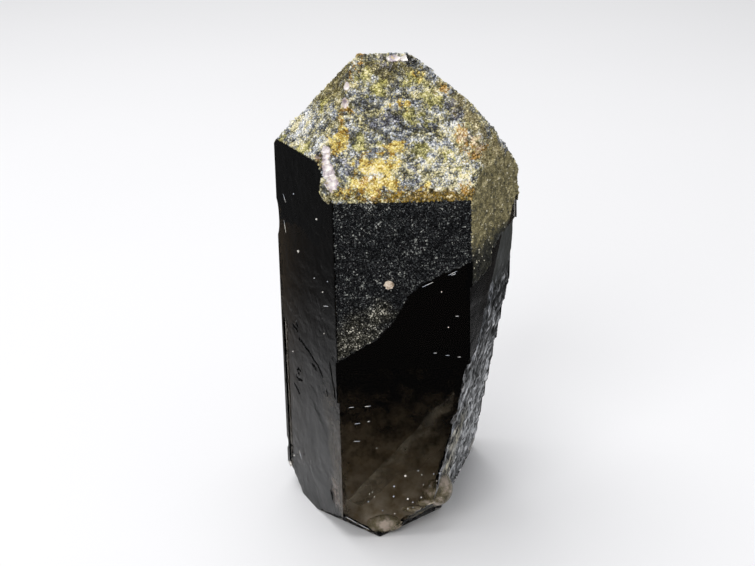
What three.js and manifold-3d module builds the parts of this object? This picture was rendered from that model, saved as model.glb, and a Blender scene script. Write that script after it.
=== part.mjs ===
// A morion: a black smoky quartz crystal, 67 mm tall, broken off its rock at the foot.
// One six-sided prism with a low, blunt point. A crust of tiny crystals covers the top and
// the upper part of the front and right faces. The right side below it is a rough, etched
// contact face, and the foot is a shelly break that ends in a flat cut.
// Millimetres, +Z up along the crystal's long axis, front face to -Y.

import * as THREE from 'three';
import { mergeVertices } from 'three/addons/utils/BufferGeometryUtils.js';
import Module from 'manifold-3d';

const wasm = await Module();
wasm.setup();

// The crystal's own axis stands here, which puts the middle of its box on the origin.
const AXIS_X = 0.55;
const AXIS_Y = -0.27;

// Angles between faces are those of quartz. The prism narrows a little towards the top.
const TAPER = 1.03;
const TOP_LEAN = 38.2;
const BEVEL_LEAN = 18;

// A face looks along its bearing, in degrees from +X, and leans up by its lean. It passes
// the point that is its reach out from the axis, at its height.
const PRISM_FACES = {
  front: { bearing: -90, lean: TAPER, reach: 12.25, height: 0 },
  rightFront: { bearing: -30, lean: TAPER, reach: 14.2, height: 0 },
  rightBack: { bearing: 30, lean: TAPER, reach: 15.6, height: 0 },
  back: { bearing: 90, lean: TAPER, reach: 13.0, height: 0 },
  leftBack: { bearing: 150, lean: TAPER, reach: 16.4, height: 0 },
  leftFront: { bearing: -150, lean: TAPER, reach: 14.15, height: 0 },
};
// grain: the spacing of the facets in the crust that covers a top face.
const TOP_FACES = {
  front: { bearing: -90, lean: TOP_LEAN, reach: 0, height: 66.2, grain: 1.05 },
  rightFront: { bearing: -30, lean: TOP_LEAN, reach: 0, height: 74.3, grain: 1.05 },
  rightBack: { bearing: 30, lean: TOP_LEAN, reach: 0, height: 69.2, grain: 1.45 },
  back: { bearing: 90, lean: TOP_LEAN, reach: 0, height: 67.3, grain: 1.45 },
  leftBack: { bearing: 150, lean: TOP_LEAN, reach: 0, height: 72.4, grain: 1.45 },
  leftFront: { bearing: -150, lean: TOP_LEAN, reach: 0, height: 71.9, grain: 1.2 },
  bevel: { bearing: -30, lean: BEVEL_LEAN, reach: 13.4, height: 55.9, grain: 1.05 },
};
const TOP_RELIEF = 0.5;
const TOP_RAISED = 0.2;

// The crust on the upper prism faces ends in a ledge. Its edge on the front face and on the
// right front face runs from left to right: distance along the face and height.
const SIDE_CRUST = { thickness: 0.45, relief: 0.4, grain: 1.1, middle: 44.5 };
const FRONT_CRUST_EDGE = [
  [-9.6, 28.6], [-6.4, 30.3], [-3, 32.6], [-0.5, 35.6], [0.9, 38.5], [3, 40.1], [10, 43.6],
];
const RIGHT_CRUST_EDGE = [
  [-8, 39], [0.3, 40.2], [0.9, 42.1], [5.3, 43.5], [9, 47.5],
];

// A growth step crosses the left front face in a curve. The face below it lies deeper.
const GROWTH_STEP = 0.18;
const GROWTH_STEP_EDGE = [
  [-10, 29.2], [-4.5, 28.4], [-2.6, 27.2], [1.6, 25.2], [3.4, 24.3], [8, 24.4],
];
// Two growth steps on the back face.
const BACK_STEP = 0.25;
const BACK_STEP_EDGES = [
  [[-12, 44], [-4, 42.5], [2, 45], [12, 44]],
  [[-12, 19], [-5, 22], [3, 20.5], [12, 24]],
];

// The rough right side: long pits, wide as the first grain number and tall as the second.
const CONTACT_FACE = { bearing: -21, lean: -11, reach: 12.7, height: 28 };
const CONTACT_GRAIN = [1.25, 1.9];
const CONTACT_RELIEF = 0.95;

// The broken underside slopes in from every side to the flat cut.
const FOOT_BREAKS = [
  { bearing: -55, lean: -37, reach: 7.9, height: 0 },
  { bearing: -127, lean: -42, reach: 12.0, height: 0 },
  { bearing: 157, lean: -45, reach: 13.6, height: 0 },
  { bearing: 84, lean: -52, reach: 9.5, height: 0 },
];
const FOOT_GRAIN = 2.6;
const FOOT_RELIEF = 0.5;

// Shell-shaped chips: where the ball that cuts each one stands from the axis, its radius,
// and how it is stretched.
const CHIPS = [
  { at: [-0.3, 0.2, 67.6], radius: 1.5, stretch: [1.4, 1, 0.8] },
  { at: [2.0, 0.1, 66.9], radius: 0.8, stretch: [1, 1, 1] },
  { at: [-7.0, -3.1, 62.9], radius: 1.0, stretch: [0.8, 1.5, 1.7] },
  { at: [-9.8, -10.5, 53.5], radius: 1.3, stretch: [0.8, 1.1, 1.6] },
  { at: [15.6, -2.6, 56.1], radius: 1.6, stretch: [1, 1, 1] },
  { at: [-17.3, 2.2, 44.4], radius: 1.0, stretch: [1, 1, 3.4] },
  { at: [-18.3, 2.5, 6.8], radius: 1.5, stretch: [1, 1, 1.5] },
  { at: [-12.0, -10.6, 5.2], radius: 2.2, stretch: [1, 1, 1.4] },
  { at: [-15.1, -1.6, 21.2], radius: 0.6, stretch: [1, 1, 1] },
  { at: [6.6, -13.4, 8.0], radius: 2.1, stretch: [1, 1, 1.5] },
  { at: [18.3, -10.6, 36.6], radius: 8, stretch: [1, 1, 1.1] },
  { at: [-9.0, 14.9, 33], radius: 2.3, stretch: [1.2, 1, 1.7] },
  { at: [7.8, 15.2, 58], radius: 2.4, stretch: [1.4, 1, 1] },
];

// Lumps on the surface: a grain stuck in the front crust, and a bulge at the front foot.
const LUMPS = [
  { at: [-1.5, -11.75, 40.0], radius: 0.6, stretch: [1, 1, 1.1] },
  { at: [-3.0, -11.1, 1.9], radius: 2.2, stretch: [1.3, 0.6, 0.8] },
];

// Crystals large enough to be seen one by one. They are sown over a face at random, between
// the given distances along it and up it from its own middle point.
const SOWN = [
  { face: TOP_FACES.front, count: 38, across: [-10, 11], up: [-19, 0], size: [0.38, 0.7] },
  { face: TOP_FACES.leftFront, count: 12, across: [-8, 8], up: [-24, -8], size: [0.35, 0.6] },
  { face: TOP_FACES.rightBack, count: 8, across: [-8, 10], up: [-24, -2], size: [0.5, 0.8] },
  { face: TOP_FACES.back, count: 8, across: [-8, 8], up: [-20, -2], size: [0.5, 0.8] },
  { face: TOP_FACES.leftBack, count: 6, across: [-9, 6], up: [-24, -8], size: [0.5, 0.8] },
  { face: TOP_FACES.bevel, count: 9, across: [-6, 4], up: [-2, 4], size: [0.45, 0.85] },
  { face: PRISM_FACES.rightFront, count: 12, across: [-5, 8], up: [45, 53], size: [0.35, 0.6] },
  { face: PRISM_FACES.front, count: 14, across: [-8, 8], up: [33, 51], size: [0.3, 0.5] },
];
const SOWN_TILT = 30;
const SOWN_DEPTH = 0.9;
const SOWN_CLEAR = 0.75;

// The rough block that the crystal is cut from, and the blocks that cut it.
const BLOCK = 42;
const FAR = 80;
const DEEP = 45;

// A repeatable number from 0 to 1 for two whole numbers.
function scatter(i, j, seed) {
  const wave = Math.sin(i * 127.1 + j * 311.7 + seed * 74.7) * 43758.5453;
  return wave - Math.floor(wave);
}

function between([low, high], share) {
  return low + (high - low) * share;
}

function solid(geometry) {
  geometry.deleteAttribute('normal');
  geometry.deleteAttribute('uv');
  const merged = mergeVertices(geometry, 1e-4);
  return new wasm.Manifold(new wasm.Mesh({
    numProp: 3,
    vertProperties: new Float32Array(merged.attributes.position.array),
    triVerts: new Uint32Array(merged.index.array),
  }));
}

function outwards(face) {
  const bearing = THREE.MathUtils.degToRad(face.bearing);
  const lean = THREE.MathUtils.degToRad(face.lean);
  const flat = Math.cos(lean);
  return new THREE.Vector3(
    Math.cos(bearing) * flat, Math.sin(bearing) * flat, Math.sin(lean));
}

// Where a face lies: X runs along it to the right, Y up it and Z out of it.
function placeOf(face) {
  const bearing = THREE.MathUtils.degToRad(face.bearing);
  const along = new THREE.Vector3(-Math.sin(bearing), Math.cos(bearing), 0);
  const out = outwards(face);
  const up = new THREE.Vector3().crossVectors(out, along);
  const place = new THREE.Matrix4().makeBasis(along, up, out);
  place.setPosition(
    AXIS_X + face.reach * Math.cos(bearing), AXIS_Y + face.reach * Math.sin(bearing), face.height);
  return place;
}

// Everything outside a flat face.
function outside(face, raised = 0) {
  const block = new THREE.BoxGeometry(2 * FAR, 2 * FAR, DEEP);
  block.translate(0, 0, DEEP / 2 + raised);
  return solid(block.applyMatrix4(placeOf(face)));
}

// Everything outside a face of uneven facets. relief gives the depth of each grid point.
function roughOutside(face, size, [cellWidth, cellHeight], relief, raised = 0) {
  const columns = 2 * Math.round(size / cellWidth / 2);
  const rows = 2 * Math.round(size / cellHeight / 2);
  const block = new THREE.BoxGeometry(
    columns * cellWidth, rows * cellHeight, DEEP, columns, rows, 1);
  block.translate(0, 0, DEEP / 2);
  const point = block.attributes.position;
  for (let k = 0; k < point.count; k += 1) {
    const i = Math.round(point.getX(k) / cellWidth);
    const j = Math.round(point.getY(k) / cellHeight);
    const onRim = Math.abs(i) * 2 === columns || Math.abs(j) * 2 === rows;
    if (point.getZ(k) < DEEP / 2 && !onRim) {
      const x = point.getX(k) + (scatter(i, j, 5) - 0.5) * 0.7 * cellWidth;
      const y = point.getY(k) + (scatter(i, j, 6) - 0.5) * 0.7 * cellHeight;
      point.setXYZ(k, x, y, raised - relief(i, j));
    }
  }
  return solid(block.applyMatrix4(placeOf(face)));
}

// A slab on a face under an edge line, or between two of them. Cutting it away leaves what
// is above the line standing as a ledge.
function underEdge(face, edge, depth, lowerEdge = [[edge.at(-1)[0], -FAR], [edge[0][0], -FAR]]) {
  const shape = new THREE.Shape([...edge, ...lowerEdge].map(([u, v]) => new THREE.Vector2(u, v)));
  const slab = new THREE.ExtrudeGeometry(shape, { depth: DEEP, bevelEnabled: false });
  slab.translate(0, 0, -depth);
  return solid(slab.applyMatrix4(placeOf(face)));
}

function ball({ at, radius, stretch }, detail) {
  const geometry = new THREE.IcosahedronGeometry(radius, detail);
  geometry.scale(...stretch);
  geometry.translate(AXIS_X + at[0], AXIS_Y + at[1], at[2]);
  return solid(geometry);
}

function prism() {
  const block = new THREE.BoxGeometry(BLOCK, BLOCK, FAR);
  block.translate(0, 0, FAR / 2);
  let body = solid(block);
  for (const name of ['rightBack', 'back', 'leftBack', 'leftFront']) {
    body = body.subtract(outside(PRISM_FACES[name]));
  }
  return body;
}

// The front and right front faces, with crust above its ledge and smooth face below.
function crustedSides(body) {
  const sides = [[PRISM_FACES.front, FRONT_CRUST_EDGE], [PRISM_FACES.rightFront, RIGHT_CRUST_EDGE]];
  const relief = (i, j) => SIDE_CRUST.relief * scatter(i, j, 1);
  const slope = Math.tan(THREE.MathUtils.degToRad(TAPER));
  let cut = body;
  for (const [face, edge] of sides) {
    const upper = {
      ...face, reach: face.reach - slope * SIDE_CRUST.middle, height: SIDE_CRUST.middle,
    };
    const grain = [SIDE_CRUST.grain, SIDE_CRUST.grain];
    cut = cut
      .subtract(outside(face, SIDE_CRUST.thickness))
      .subtract(underEdge(face, edge, 0))
      .subtract(roughOutside(upper, 40, grain, relief, SIDE_CRUST.thickness));
  }
  return cut;
}

function top(body) {
  let cut = body;
  Object.values(TOP_FACES).forEach((face, index) => {
    const relief = (i, j) => TOP_RELIEF * scatter(i, j, 10 + index) ** 1.5;
    cut = cut.subtract(roughOutside(face, 56, [face.grain, face.grain], relief, TOP_RAISED));
  });
  return cut;
}

function contactSide(body) {
  const relief = (i, j) => CONTACT_RELIEF * scatter(i, Math.floor(j / 2), 30);
  return body.subtract(roughOutside(CONTACT_FACE, 90, CONTACT_GRAIN, relief));
}

function foot(body) {
  const relief = (i, j) => FOOT_RELIEF * scatter(i, j, 40);
  let cut = body;
  for (const face of FOOT_BREAKS) {
    cut = cut.subtract(roughOutside(face, 50, [FOOT_GRAIN, FOOT_GRAIN], relief));
  }
  return cut;
}

function growthSteps(body) {
  const [upper, lower] = BACK_STEP_EDGES;
  const band = underEdge(PRISM_FACES.back, upper, BACK_STEP, [...lower].reverse());
  return body
    .subtract(underEdge(PRISM_FACES.leftFront, GROWTH_STEP_EDGE, GROWTH_STEP))
    .subtract(band);
}

// How far a point lies inside the nearest face of the whole crystal, its own face left out.
function clearance(point, own) {
  const faces = [...Object.values(PRISM_FACES), ...Object.values(TOP_FACES), CONTACT_FACE];
  const gaps = faces.filter((face) => face !== own).map((face) => {
    const onFace = new THREE.Vector3().setFromMatrixPosition(placeOf(face));
    return outwards(face).dot(onFace.sub(point));
  });
  return Math.min(...gaps);
}

// A six-sided crystal with a pointed end, rooted below the origin and pointing along +Z.
function pointCrystal(radius) {
  const geometry = new THREE.LatheGeometry([
    new THREE.Vector2(0, -SOWN_DEPTH),
    new THREE.Vector2(radius, -SOWN_DEPTH),
    new THREE.Vector2(radius, radius * 0.4),
    new THREE.Vector2(0, radius * 1.3),
  ], 6);
  return geometry.rotateX(Math.PI / 2);
}

function sownCrystals(body) {
  let grown = body;
  SOWN.forEach(({ face, count, across, up, size }, patch) => {
    const place = placeOf(face);
    let placed = 0;
    for (let attempt = 0; placed < count && attempt < 40 * count; attempt += 1) {
      const roll = (seed) => scatter(attempt, patch, seed);
      const point = new THREE.Vector3(between(across, roll(50)), between(up, roll(51)), 0);
      if (clearance(point.applyMatrix4(place), face) > SOWN_CLEAR) {
        const tilt = THREE.MathUtils.degToRad(SOWN_TILT);
        const turn = new THREE.Euler(
          tilt * (roll(52) - 0.5) * 2, tilt * (roll(53) - 0.5) * 2, Math.PI * roll(54));
        const crystalPlace = new THREE.Matrix4().makeRotationFromEuler(turn);
        crystalPlace.premultiply(new THREE.Matrix4().extractRotation(place)).setPosition(point);
        const radius = between(size, roll(55) ** 2);
        grown = grown.add(solid(pointCrystal(radius).applyMatrix4(crystalPlace)));
        placed += 1;
      }
    }
  });
  return grown;
}

function wholeCrystal() {
  let body = growthSteps(foot(contactSide(top(crustedSides(prism())))));
  body = sownCrystals(body);
  for (const chip of CHIPS) {
    body = body.subtract(ball(chip, chip.radius > 1.4 ? 2 : 1));
  }
  for (const lump of LUMPS) {
    body = body.add(ball(lump, 1));
  }
  const floor = new THREE.BoxGeometry(FAR, FAR, DEEP);
  floor.translate(0, 0, -DEEP / 2);
  return body.subtract(solid(floor));
}

function geometryOf(body) {
  const mesh = body.getMesh();
  const geometry = new THREE.BufferGeometry();
  geometry.setAttribute('position', new THREE.BufferAttribute(mesh.vertProperties, 3));
  geometry.setIndex(new THREE.BufferAttribute(mesh.triVerts, 1));
  geometry.computeVertexNormals();
  return geometry;
}

const morion = new THREE.MeshStandardMaterial({ color: 0x1d1b18, roughness: 0.25, metalness: 0 });
const crystal = new THREE.Mesh(geometryOf(wholeCrystal()), morion);
crystal.name = 'crystal';

const part = new THREE.Group();
part.add(crystal);

export default part;
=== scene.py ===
"""A morion, a black smoky quartz crystal, with its druse, rough contact side and broken foot.

Places and sizes in the tables are in millimetres, and become metres where a shape is made.
The crystal's long axis is +Z and its broad front face looks along -Y.
"""

import contextlib
import functools
import math
import random
from collections import namedtuple

import bpy
from bpy.props import FloatProperty, FloatVectorProperty, IntProperty, PointerProperty
from mathutils import Euler, Matrix, Vector, noise


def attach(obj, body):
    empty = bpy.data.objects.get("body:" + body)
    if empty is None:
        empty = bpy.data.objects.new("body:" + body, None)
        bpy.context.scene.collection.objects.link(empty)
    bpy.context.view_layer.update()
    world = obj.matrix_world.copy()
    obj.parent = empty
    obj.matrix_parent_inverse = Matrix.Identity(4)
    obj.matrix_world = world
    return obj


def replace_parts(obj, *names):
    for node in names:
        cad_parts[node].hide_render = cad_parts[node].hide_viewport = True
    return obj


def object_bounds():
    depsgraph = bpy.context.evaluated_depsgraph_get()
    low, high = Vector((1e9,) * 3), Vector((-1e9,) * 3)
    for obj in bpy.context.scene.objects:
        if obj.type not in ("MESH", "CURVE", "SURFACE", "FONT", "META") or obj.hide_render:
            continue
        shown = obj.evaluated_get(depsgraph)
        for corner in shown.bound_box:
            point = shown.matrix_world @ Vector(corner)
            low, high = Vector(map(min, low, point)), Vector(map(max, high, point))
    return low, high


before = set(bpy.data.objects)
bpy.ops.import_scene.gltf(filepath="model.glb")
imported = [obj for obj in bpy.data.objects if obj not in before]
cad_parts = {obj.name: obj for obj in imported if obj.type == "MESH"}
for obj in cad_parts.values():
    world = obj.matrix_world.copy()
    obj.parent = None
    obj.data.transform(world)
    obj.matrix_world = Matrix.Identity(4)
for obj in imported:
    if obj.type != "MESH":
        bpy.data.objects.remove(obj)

bl_info = {
    "name": "Morion quartz crystal",
    "version": (1, 0, 0),
    "blender": (4, 5, 0),
    "location": "View3D > Sidebar > Morion",
    "description": "Builds a black smoky quartz crystal with druse, contact side and broken foot",
    "category": "Object",
}

MM = 0.001
SQUARE_MM = 1e-6
TRIANGLE_LIMIT = 200000
# Edges that turn by less than this, in degrees, are shaded smooth.
BODY_SMOOTHING, GRAIN_SMOOTHING = 28, 35
# The block that the faces are cut from, how far down a face a step's cutter goes and how thick
# it is, and how close corners and grid points are when they are merged.
BLOCK_RADIUS, BLOCK_HEIGHT = 40, 90
CUTTER_FOOT, CUTTER_THICKNESS = -10, 6
MERGED_CORNERS, MERGED_GRID = 0.02, 0.03
CAD_LOW, CAD_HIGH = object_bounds()

# The crystal's own axis, and the angles between the faces of quartz, in degrees. The prism
# narrows a little towards the top.
AXIS = Vector((0.55, -0.27, 0))
TAPER = 1.03
TOP_LEAN = 38.2

# A face looks along its bearing and leans up by its lean. It passes the point that is its
# reach out from the axis, at its height.
Face = namedtuple("Face", "bearing lean reach height")
PRISM_FACES = {
    "front": Face(-90, TAPER, 12.25, 0),
    "right_front": Face(-30, TAPER, 14.2, 0),
    "right_back": Face(30, TAPER, 15.4, 0),
    "back": Face(90, TAPER, 13, 0),
    "left_back": Face(150, TAPER, 16.4, 0),
    "left_front": Face(-150, TAPER, 14.15, 0),
}
TOP_FACES = {
    "top_front": Face(-90, 37.5, 0, 66.9),
    "top_right": Face(-30, TOP_LEAN, 0, 74.3),
    "top_right_back": Face(30, TOP_LEAN, 0, 69.2),
    "top_back": Face(90, TOP_LEAN, 0, 67.3),
    "top_left_back": Face(145, 40.6, 0, 72.35),
    "top_left": Face(-150.7, 38, 0, 72.7),
    "bevel": Face(-30, 18, 13.4, 55.9),
}
CONTACT_FACE = Face(-21, -11, 12.7, 28)
# Its smooth upper end starts under the crust's edge. Points on the border are distance along
# the facet and height up it.
CONTACT_TOP = Face(-24.4, -2.3, 13.7, 40)
CONTACT_TOP_UPPER = [
    (14, 8.4), (9.6, 5), (7.9, 3.7), (6.1, 3.3), (3.5, 3.4), (1, 3.4), (0.1, 2.4),
    (0.3, -1.3), (-12, -1.9),
]
CONTACT_TOP_LOWER = [(-12, -15), (14, -15)]
FOOT_BREAKS = {
    "break_right": Face(-55, -37, 7.9, 0),
    "break_front": Face(-127, -42, 12, 0),
    "break_left": Face(157, -45, 13.6, 0),
    "break_back": Face(84, -52, 9.5, 0),
}
FOOT_CUT = Face(0, -90, 0, 0)
FACES = {**PRISM_FACES, **TOP_FACES, **FOOT_BREAKS, "contact": CONTACT_FACE}

# How far the druse and the crust stand proud of the faces that they grew on. On the walls the
# crust ends in a ragged ledge. Points on edge lines are distance along the face and height up
# it.
BED = {
    "front": 0.45, "right_front": 0.45, "top_right": 0.25, "top_right_back": 0.3, "top_back": 0.35,
    "bevel": -0.2, "right_back": 0.3, "back": 0.35, "left_back": 0.3,
}
CRUST_EDGES = {
    "right_back": [
        (-12, 47.5), (-5.5, 45.8), (-2.6, 47.4), (-0.8, 44.6), (2.4, 42.8), (5.2, 44.1), (12, 41.6),
    ],
    "back": [(-12, 41.7), (-6.4, 43.5), (-3.3, 42.2), (-1.7, 38.8), (1.5, 37.9), (5, 40.2), (12, 41)],
    "left_back": [
        (-12, 40.8), (-6.5, 43.2), (-4.2, 43.6), (-2.5, 46.6), (-0.6, 50), (0.9, 56), (3, 60),
        (12, 62),
    ],
    "front": [
        (-9.6, 28.6), (-6.4, 30.3), (-3, 32.6), (-0.5, 35.6), (0.9, 38.5), (3, 40.1), (10, 43.6),
    ],
    "right_front": [(-8, 39), (0.3, 40.2), (0.9, 42.1), (5.3, 43.5), (9, 47.5)],
}
TOOTH_LENGTH = 0.45
GROWTH_STEP = 0.3
GROWTH_STEP_EDGE = [
    (-10, 28.9), (-7.2, 28.5), (-5.6, 28.2), (-5, 27.1), (-2, 26.3), (0.6, 25.3), (2, 24),
    (3.3, 22.8), (8, 22.2),
]
# Grooves with walls painted near black as shade, one just above the growth step and the others in short
# cracks beside it.
GROOVE_WIDTH = 0.42
GROOVE_DEPTH = 0.15
GROOVE_RISE = 0.45
GROOVE_TEETH = 0.08
GROOVES = [
    [(u, v + GROOVE_RISE) for u, v in GROWTH_STEP_EDGE[1:7]],
    [(2.2, 23.6), (2.4, 22.7), (2.5, 21.6)],
    [(-2, 25), (-1.2, 24.8), (-0.2, 24.3)],
    [(4, 28.2), (4.3, 26.9), (4.6, 25.7), (5.2, 24), (5.3, 22.6)],
    [(-5.9, 30), (-5.2, 29.1)],
    [(-6.9, 21.3), (-6.2, 22), (-5.4, 21.8)],
    [(-7.2, 20.6), (-6.6, 20.1), (-5, 20.6)],
    [(-8, 18.9), (-7, 18.3), (-6, 17.6)],
]
BACK_STEP = 0.25
BACK_STEP_UPPER = [(-12, 32), (-4, 30.5), (2, 33), (12, 32)]
BACK_STEP_LOWER = [(-12, 19), (-5, 22), (3, 20.5), (12, 24)]

# Balls that cut the shell-shaped chips, and lumps that stand on the surface: where each one
# is from the axis, its radius, its stretch along X, Y and Z, and the finish that it leaves.
Ball = namedtuple("Ball", "at radius stretch finish", defaults=[(1, 1, 1), "smoky_quartz"])
CHIPS = [
    Ball((-0.2, -0.7, 67.2), 0.9, (1.8, 1, 1), "pale_shell"),
    Ball((1.2, -0.6, 67), 0.7, (1.2, 1, 1), "pale_shell"),
    Ball((2.2, -0.3, 67.1), 0.9, (1, 1.2, 1)),
    Ball((-6.4, -2.5, 64.2), 0.6, (0.7, 1, 1.3), "pale_shell"),
    Ball((-6.6, -3.9, 62.3), 0.65, (0.7, 1, 1.5), "pale_shell"),
    *[Ball(at, radius, finish="pale_shell") for *at, radius in [
        (-9.2, -8.1, 57.7, 1), (-9.2, -8.6, 57, 1), (-9.2, -9.1, 56.4, 1), (-9, -9.5, 55.8, 1.05),
        (-8.8, -10, 55.2, 1.1), (-8.6, -10.4, 54.6, 1.1), (-8.4, -10.7, 54.2, 1.1),
        (-8.2, -11.1, 53.8, 1),
    ]],
    Ball((15.6, -2.6, 56.1), 1.6),
    Ball((-17.3, 2.2, 44.4), 1, (1, 1, 3.4)),
    Ball((-17.9, 2.4, 7.2), 0.8, (1, 1, 1.6)),
    Ball((-11.8, -10.9, 6.2), 2.2, (1, 1, 1.6)),
    Ball((-15.1, -1.6, 21.2), 0.6),
    Ball((6.6, -13.4, 8), 2.1, (1, 1, 1.5)),
    Ball((-9, 14.9, 33), 2.3, (1.2, 1, 1.7)),
    Ball((7.8, 15.2, 58), 2.4, (1.4, 1, 1)),
]
CORNER_LUMP = Ball((-9.1, -10.6, 53.1), 1, (1, 1, 1.9), "druse")
FOOT_BULGES = [
    Ball((-3, -11.1, 1.9), 2.2, (1.3, 0.6, 0.8)),
    Ball((4.6, -9.75, 6.5), 2.35, (1, 1, 1.1)),
]
MILKY_LUMPS = [
    Ball((-3, -11.15, 1.9), 1, (2.5, 1.1, 1.5), "milky_quartz"),
    Ball((4.6, -9.75, 6.5), 1, (2.1, 2.1, 2.3), "milky_quartz"),
    Ball((1.2, -8.2, 1.8), 1, (1.8, 1, 0.8), "milky_quartz"),
    Ball((3.7, -6.8, 2.1), 1, (1.6, 1, 1), "milky_quartz"),
    Ball((1, -11.3, 4.4), 1, (1.6, 0.5, 0.5), "milky_quartz"),
    Ball((3, -11.3, 5.4), 1, (1.3, 0.5, 0.6), "milky_quartz"),
]
STUCK_GRAIN = Ball((-1.6, -11.95, 40.2), 0.56, (1.1, 0.8, 1), "stuck_grain")

# Films inside the foot: the cloud and the veil start under the front face and dip inwards, and
# the patch lies under the left wall. All stay off the walls, the breaks and the contact side.
FILM_SQUARES = 70
FILM_THICKNESS = 0.05
CLOUD_DEPTH = 0.7
CLOUD_DIP = 0.2
VEIL_START = Vector((-6, 0, 9))
VEIL_ALONG = Vector((0.652, 0, 0.758))
VEIL_ACROSS = Vector((0.758, 0, -0.652))
VEIL_DIP = 24
VEIL_SPOTS = [(-1.2, -10.8, 13.4, 0.9), (3.6, -10.6, 20, 1), (-6, -11, 7.5, 2)]
PATCH_SPOTS = [(-9.05, -9.5, 7.3, 1.4), (-8.9, -9.8, 6.2, 1.5), (-8.6, -10.3, 5.1, 1.4)]
PATCH_AT = Vector((3.5, 6.2, -1.1))
WALL_GAP, BREAK_GAP, CONTACT_GAP = 0.5, 0.9, 1.3

# Single grains and thin nicks on the bare faces, painted white as glints: distance along the face, height
# up it, and the radius of a grain or the two ends of a nick. A grain is drawn a little larger, and both
# stand just proud of the face. The section is half a nick's width and height.
GLINT_SWELL = 1.25
GLINT_RISE, NICK_RISE = 0.02, 0.01
NICK_SECTION = (0.045, 0.03)
GLINTS = {
    "front": [
        (0.1, 10.4, 0.14), (-1.5, 8.7, 0.11), (-1.6, 7, 0.12), (0.4, 6.5, 0.13), (1.1, 5.9, 0.09),
        (2.3, 6.7, 0.10), (2.6, 8.8, 0.06), (2.4, 10.5, 0.06), (1.9, 11.2, 0.07), (-5.2, 6.2, 0.09),
        (-5, 7.5, 0.06), (-4.6, 7.8, 0.06), (-4.3, 7, 0.06), (-3.2, 4.6, 0.08),
        (-1.5, 4, 0.07), (0.4, 4.8, 0.09), (1.1, 5, 0.06), (4.9, 10.7, 0.09), (4.5, 9.4, 0.06),
        (4.1, 10.6, 0.07), (3.5, 8.6, 0.06), (-3.8, 15.1, 0.06), (4.2, 5.8, 0.06), (6.1, 33.6, 0.08),
        (5.2, 38.8, 0.08),
    ],
    "left_front": [
        (-4.8, 49.4, 0.09), (1.6, 48, 0.12), (-4.1, 41.3, 0.15), (0.4, 39.1, 0.08),
        (4.1, 40.1, 0.07), (2.7, 38, 0.09), (2.7, 31.8, 0.07), (-7.2, 24.4, 0.08),
        (-8.4, 5.9, 0.10),
    ],
    "left_back": [(-1.5, 28, 0.09), (4.2, 34.5, 0.10), (-4.8, 9.5, 0.08), (2.6, 12.2, 0.07)],
    "back": [(2.3, 30.4, 0.10), (-5.1, 18.6, 0.08), (4.6, 25, 0.09), (-1.4, 12.1, 0.08)],
    "right_back": [(-4.6, 36.2, 0.09), (3.4, 33, 0.10), (0.6, 24.1, 0.08), (4, 12.8, 0.09)],
}
NICKS = {
    "front": [
        (-7.5, 21.7, -6.7, 21.8), (-5.3, 21.8, -4.4, 21.9), (-6.8, 19.1, -5.9, 19.2),
        (-5, 19.4, -4.6, 19.5), (-7, 16.3, -6, 16.3), (7, 35.2, 7.5, 35.2),
        (4.1, 29.8, 4.6, 29.8), (5.7, 29.4, 6.3, 29.4), (7.3, 29.1, 7.8, 29.1),
        (2.6, 39.5, 4.2, 40.25), (6, 41.1, 7.3, 41.75), (6.4, 41.1, 7.1, 41.35),
        (-8.6, 3.8, -6.9, 2.5), (-6.9, 2.5, -5.1, 1.3),
    ],
    "left_front": [
        (2.6, 35.9, 4.2, 36.5), (-8.1, 48.4, -7.3, 47.2), (-8.2, 44.6, -7.7, 42.5),
        (-6.7, 7.9, -5.8, 6.6),
    ],
    "left_back": [(-3, 33, -1.6, 33.4), (2, 21, 3.2, 20.4), (-5, 14, -4.2, 14.1)],
    "back": [(-4, 27, -2.4, 27.2), (3, 14, 3.8, 14.6), (1, 35, 2.2, 34.8)],
    "right_back": [(-3, 30, -1.8, 30.6), (2.5, 18, 4.1, 18.2), (-1, 39, 0.4, 38.7)],
}

# Colour in the druse. A spot is the middle of a soft patch and how far it reaches: it starts at
# its rim and is full from its core inwards, both as shares of that reach. A stain has a shade
# for dark grains and one for bright grains, and a share of the grains to cover.
SPOT_RIM, SPOT_CORE = 1.25, 0.35
PALE_SPOTS = [
    (7.4, -6.8, 58.4, 2.2), (5.9, -8, 56.8, 2), (7.6, -9.2, 55.2, 2.3), (8.5, -10.6, 53.5, 1.6),
    (5.8, -10.6, 53.4, 1.4), (-11.7, -1.1, 58.5, 2.6), (-12.4, -3, 56.6, 1.8), (-9.8, -7, 58.1, 1.6),
    (0, -9.6, 54.7, 1.1), (-2.4, -9.8, 54.5, 2.2), (3.8, -9.2, 55.3, 1.3), (9.9, -7.2, 57.9, 0.7),
    (1, 8.5, 56, 3), (-7.5, 7, 58, 2.5), (9, 5, 57, 2),
]
DARK_SPOTS = [
    (0.2, -5.9, 59.6, 2.4), (-3.2, -4.8, 61, 1.8), (8, -5, 60.8, 1.5), (2.8, -0.9, 66, 1.5),
    (-2.5, -0.4, 66.7, 1.3), (2.2, -9.8, 54.4, 0.8), (-5.5, -6.6, 58.7, 1.3), (-9.1, -8.2, 56.5, 0.9),
    (-7.7, -9.4, 55.1, 1), (-6.5, -1.2, 64.2, 2.4), (0.4, -1.7, 65, 2.2), (-1.5, -1.4, 65.5, 1.2),
    (4.6, -6.2, 59.2, 1.4), (-3, 4, 62, 2.4), (5, 9.5, 55, 2), (-12, 5, 56, 1.8),
]
Stain = namedtuple("Stain", "dark bright share spots")
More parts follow.
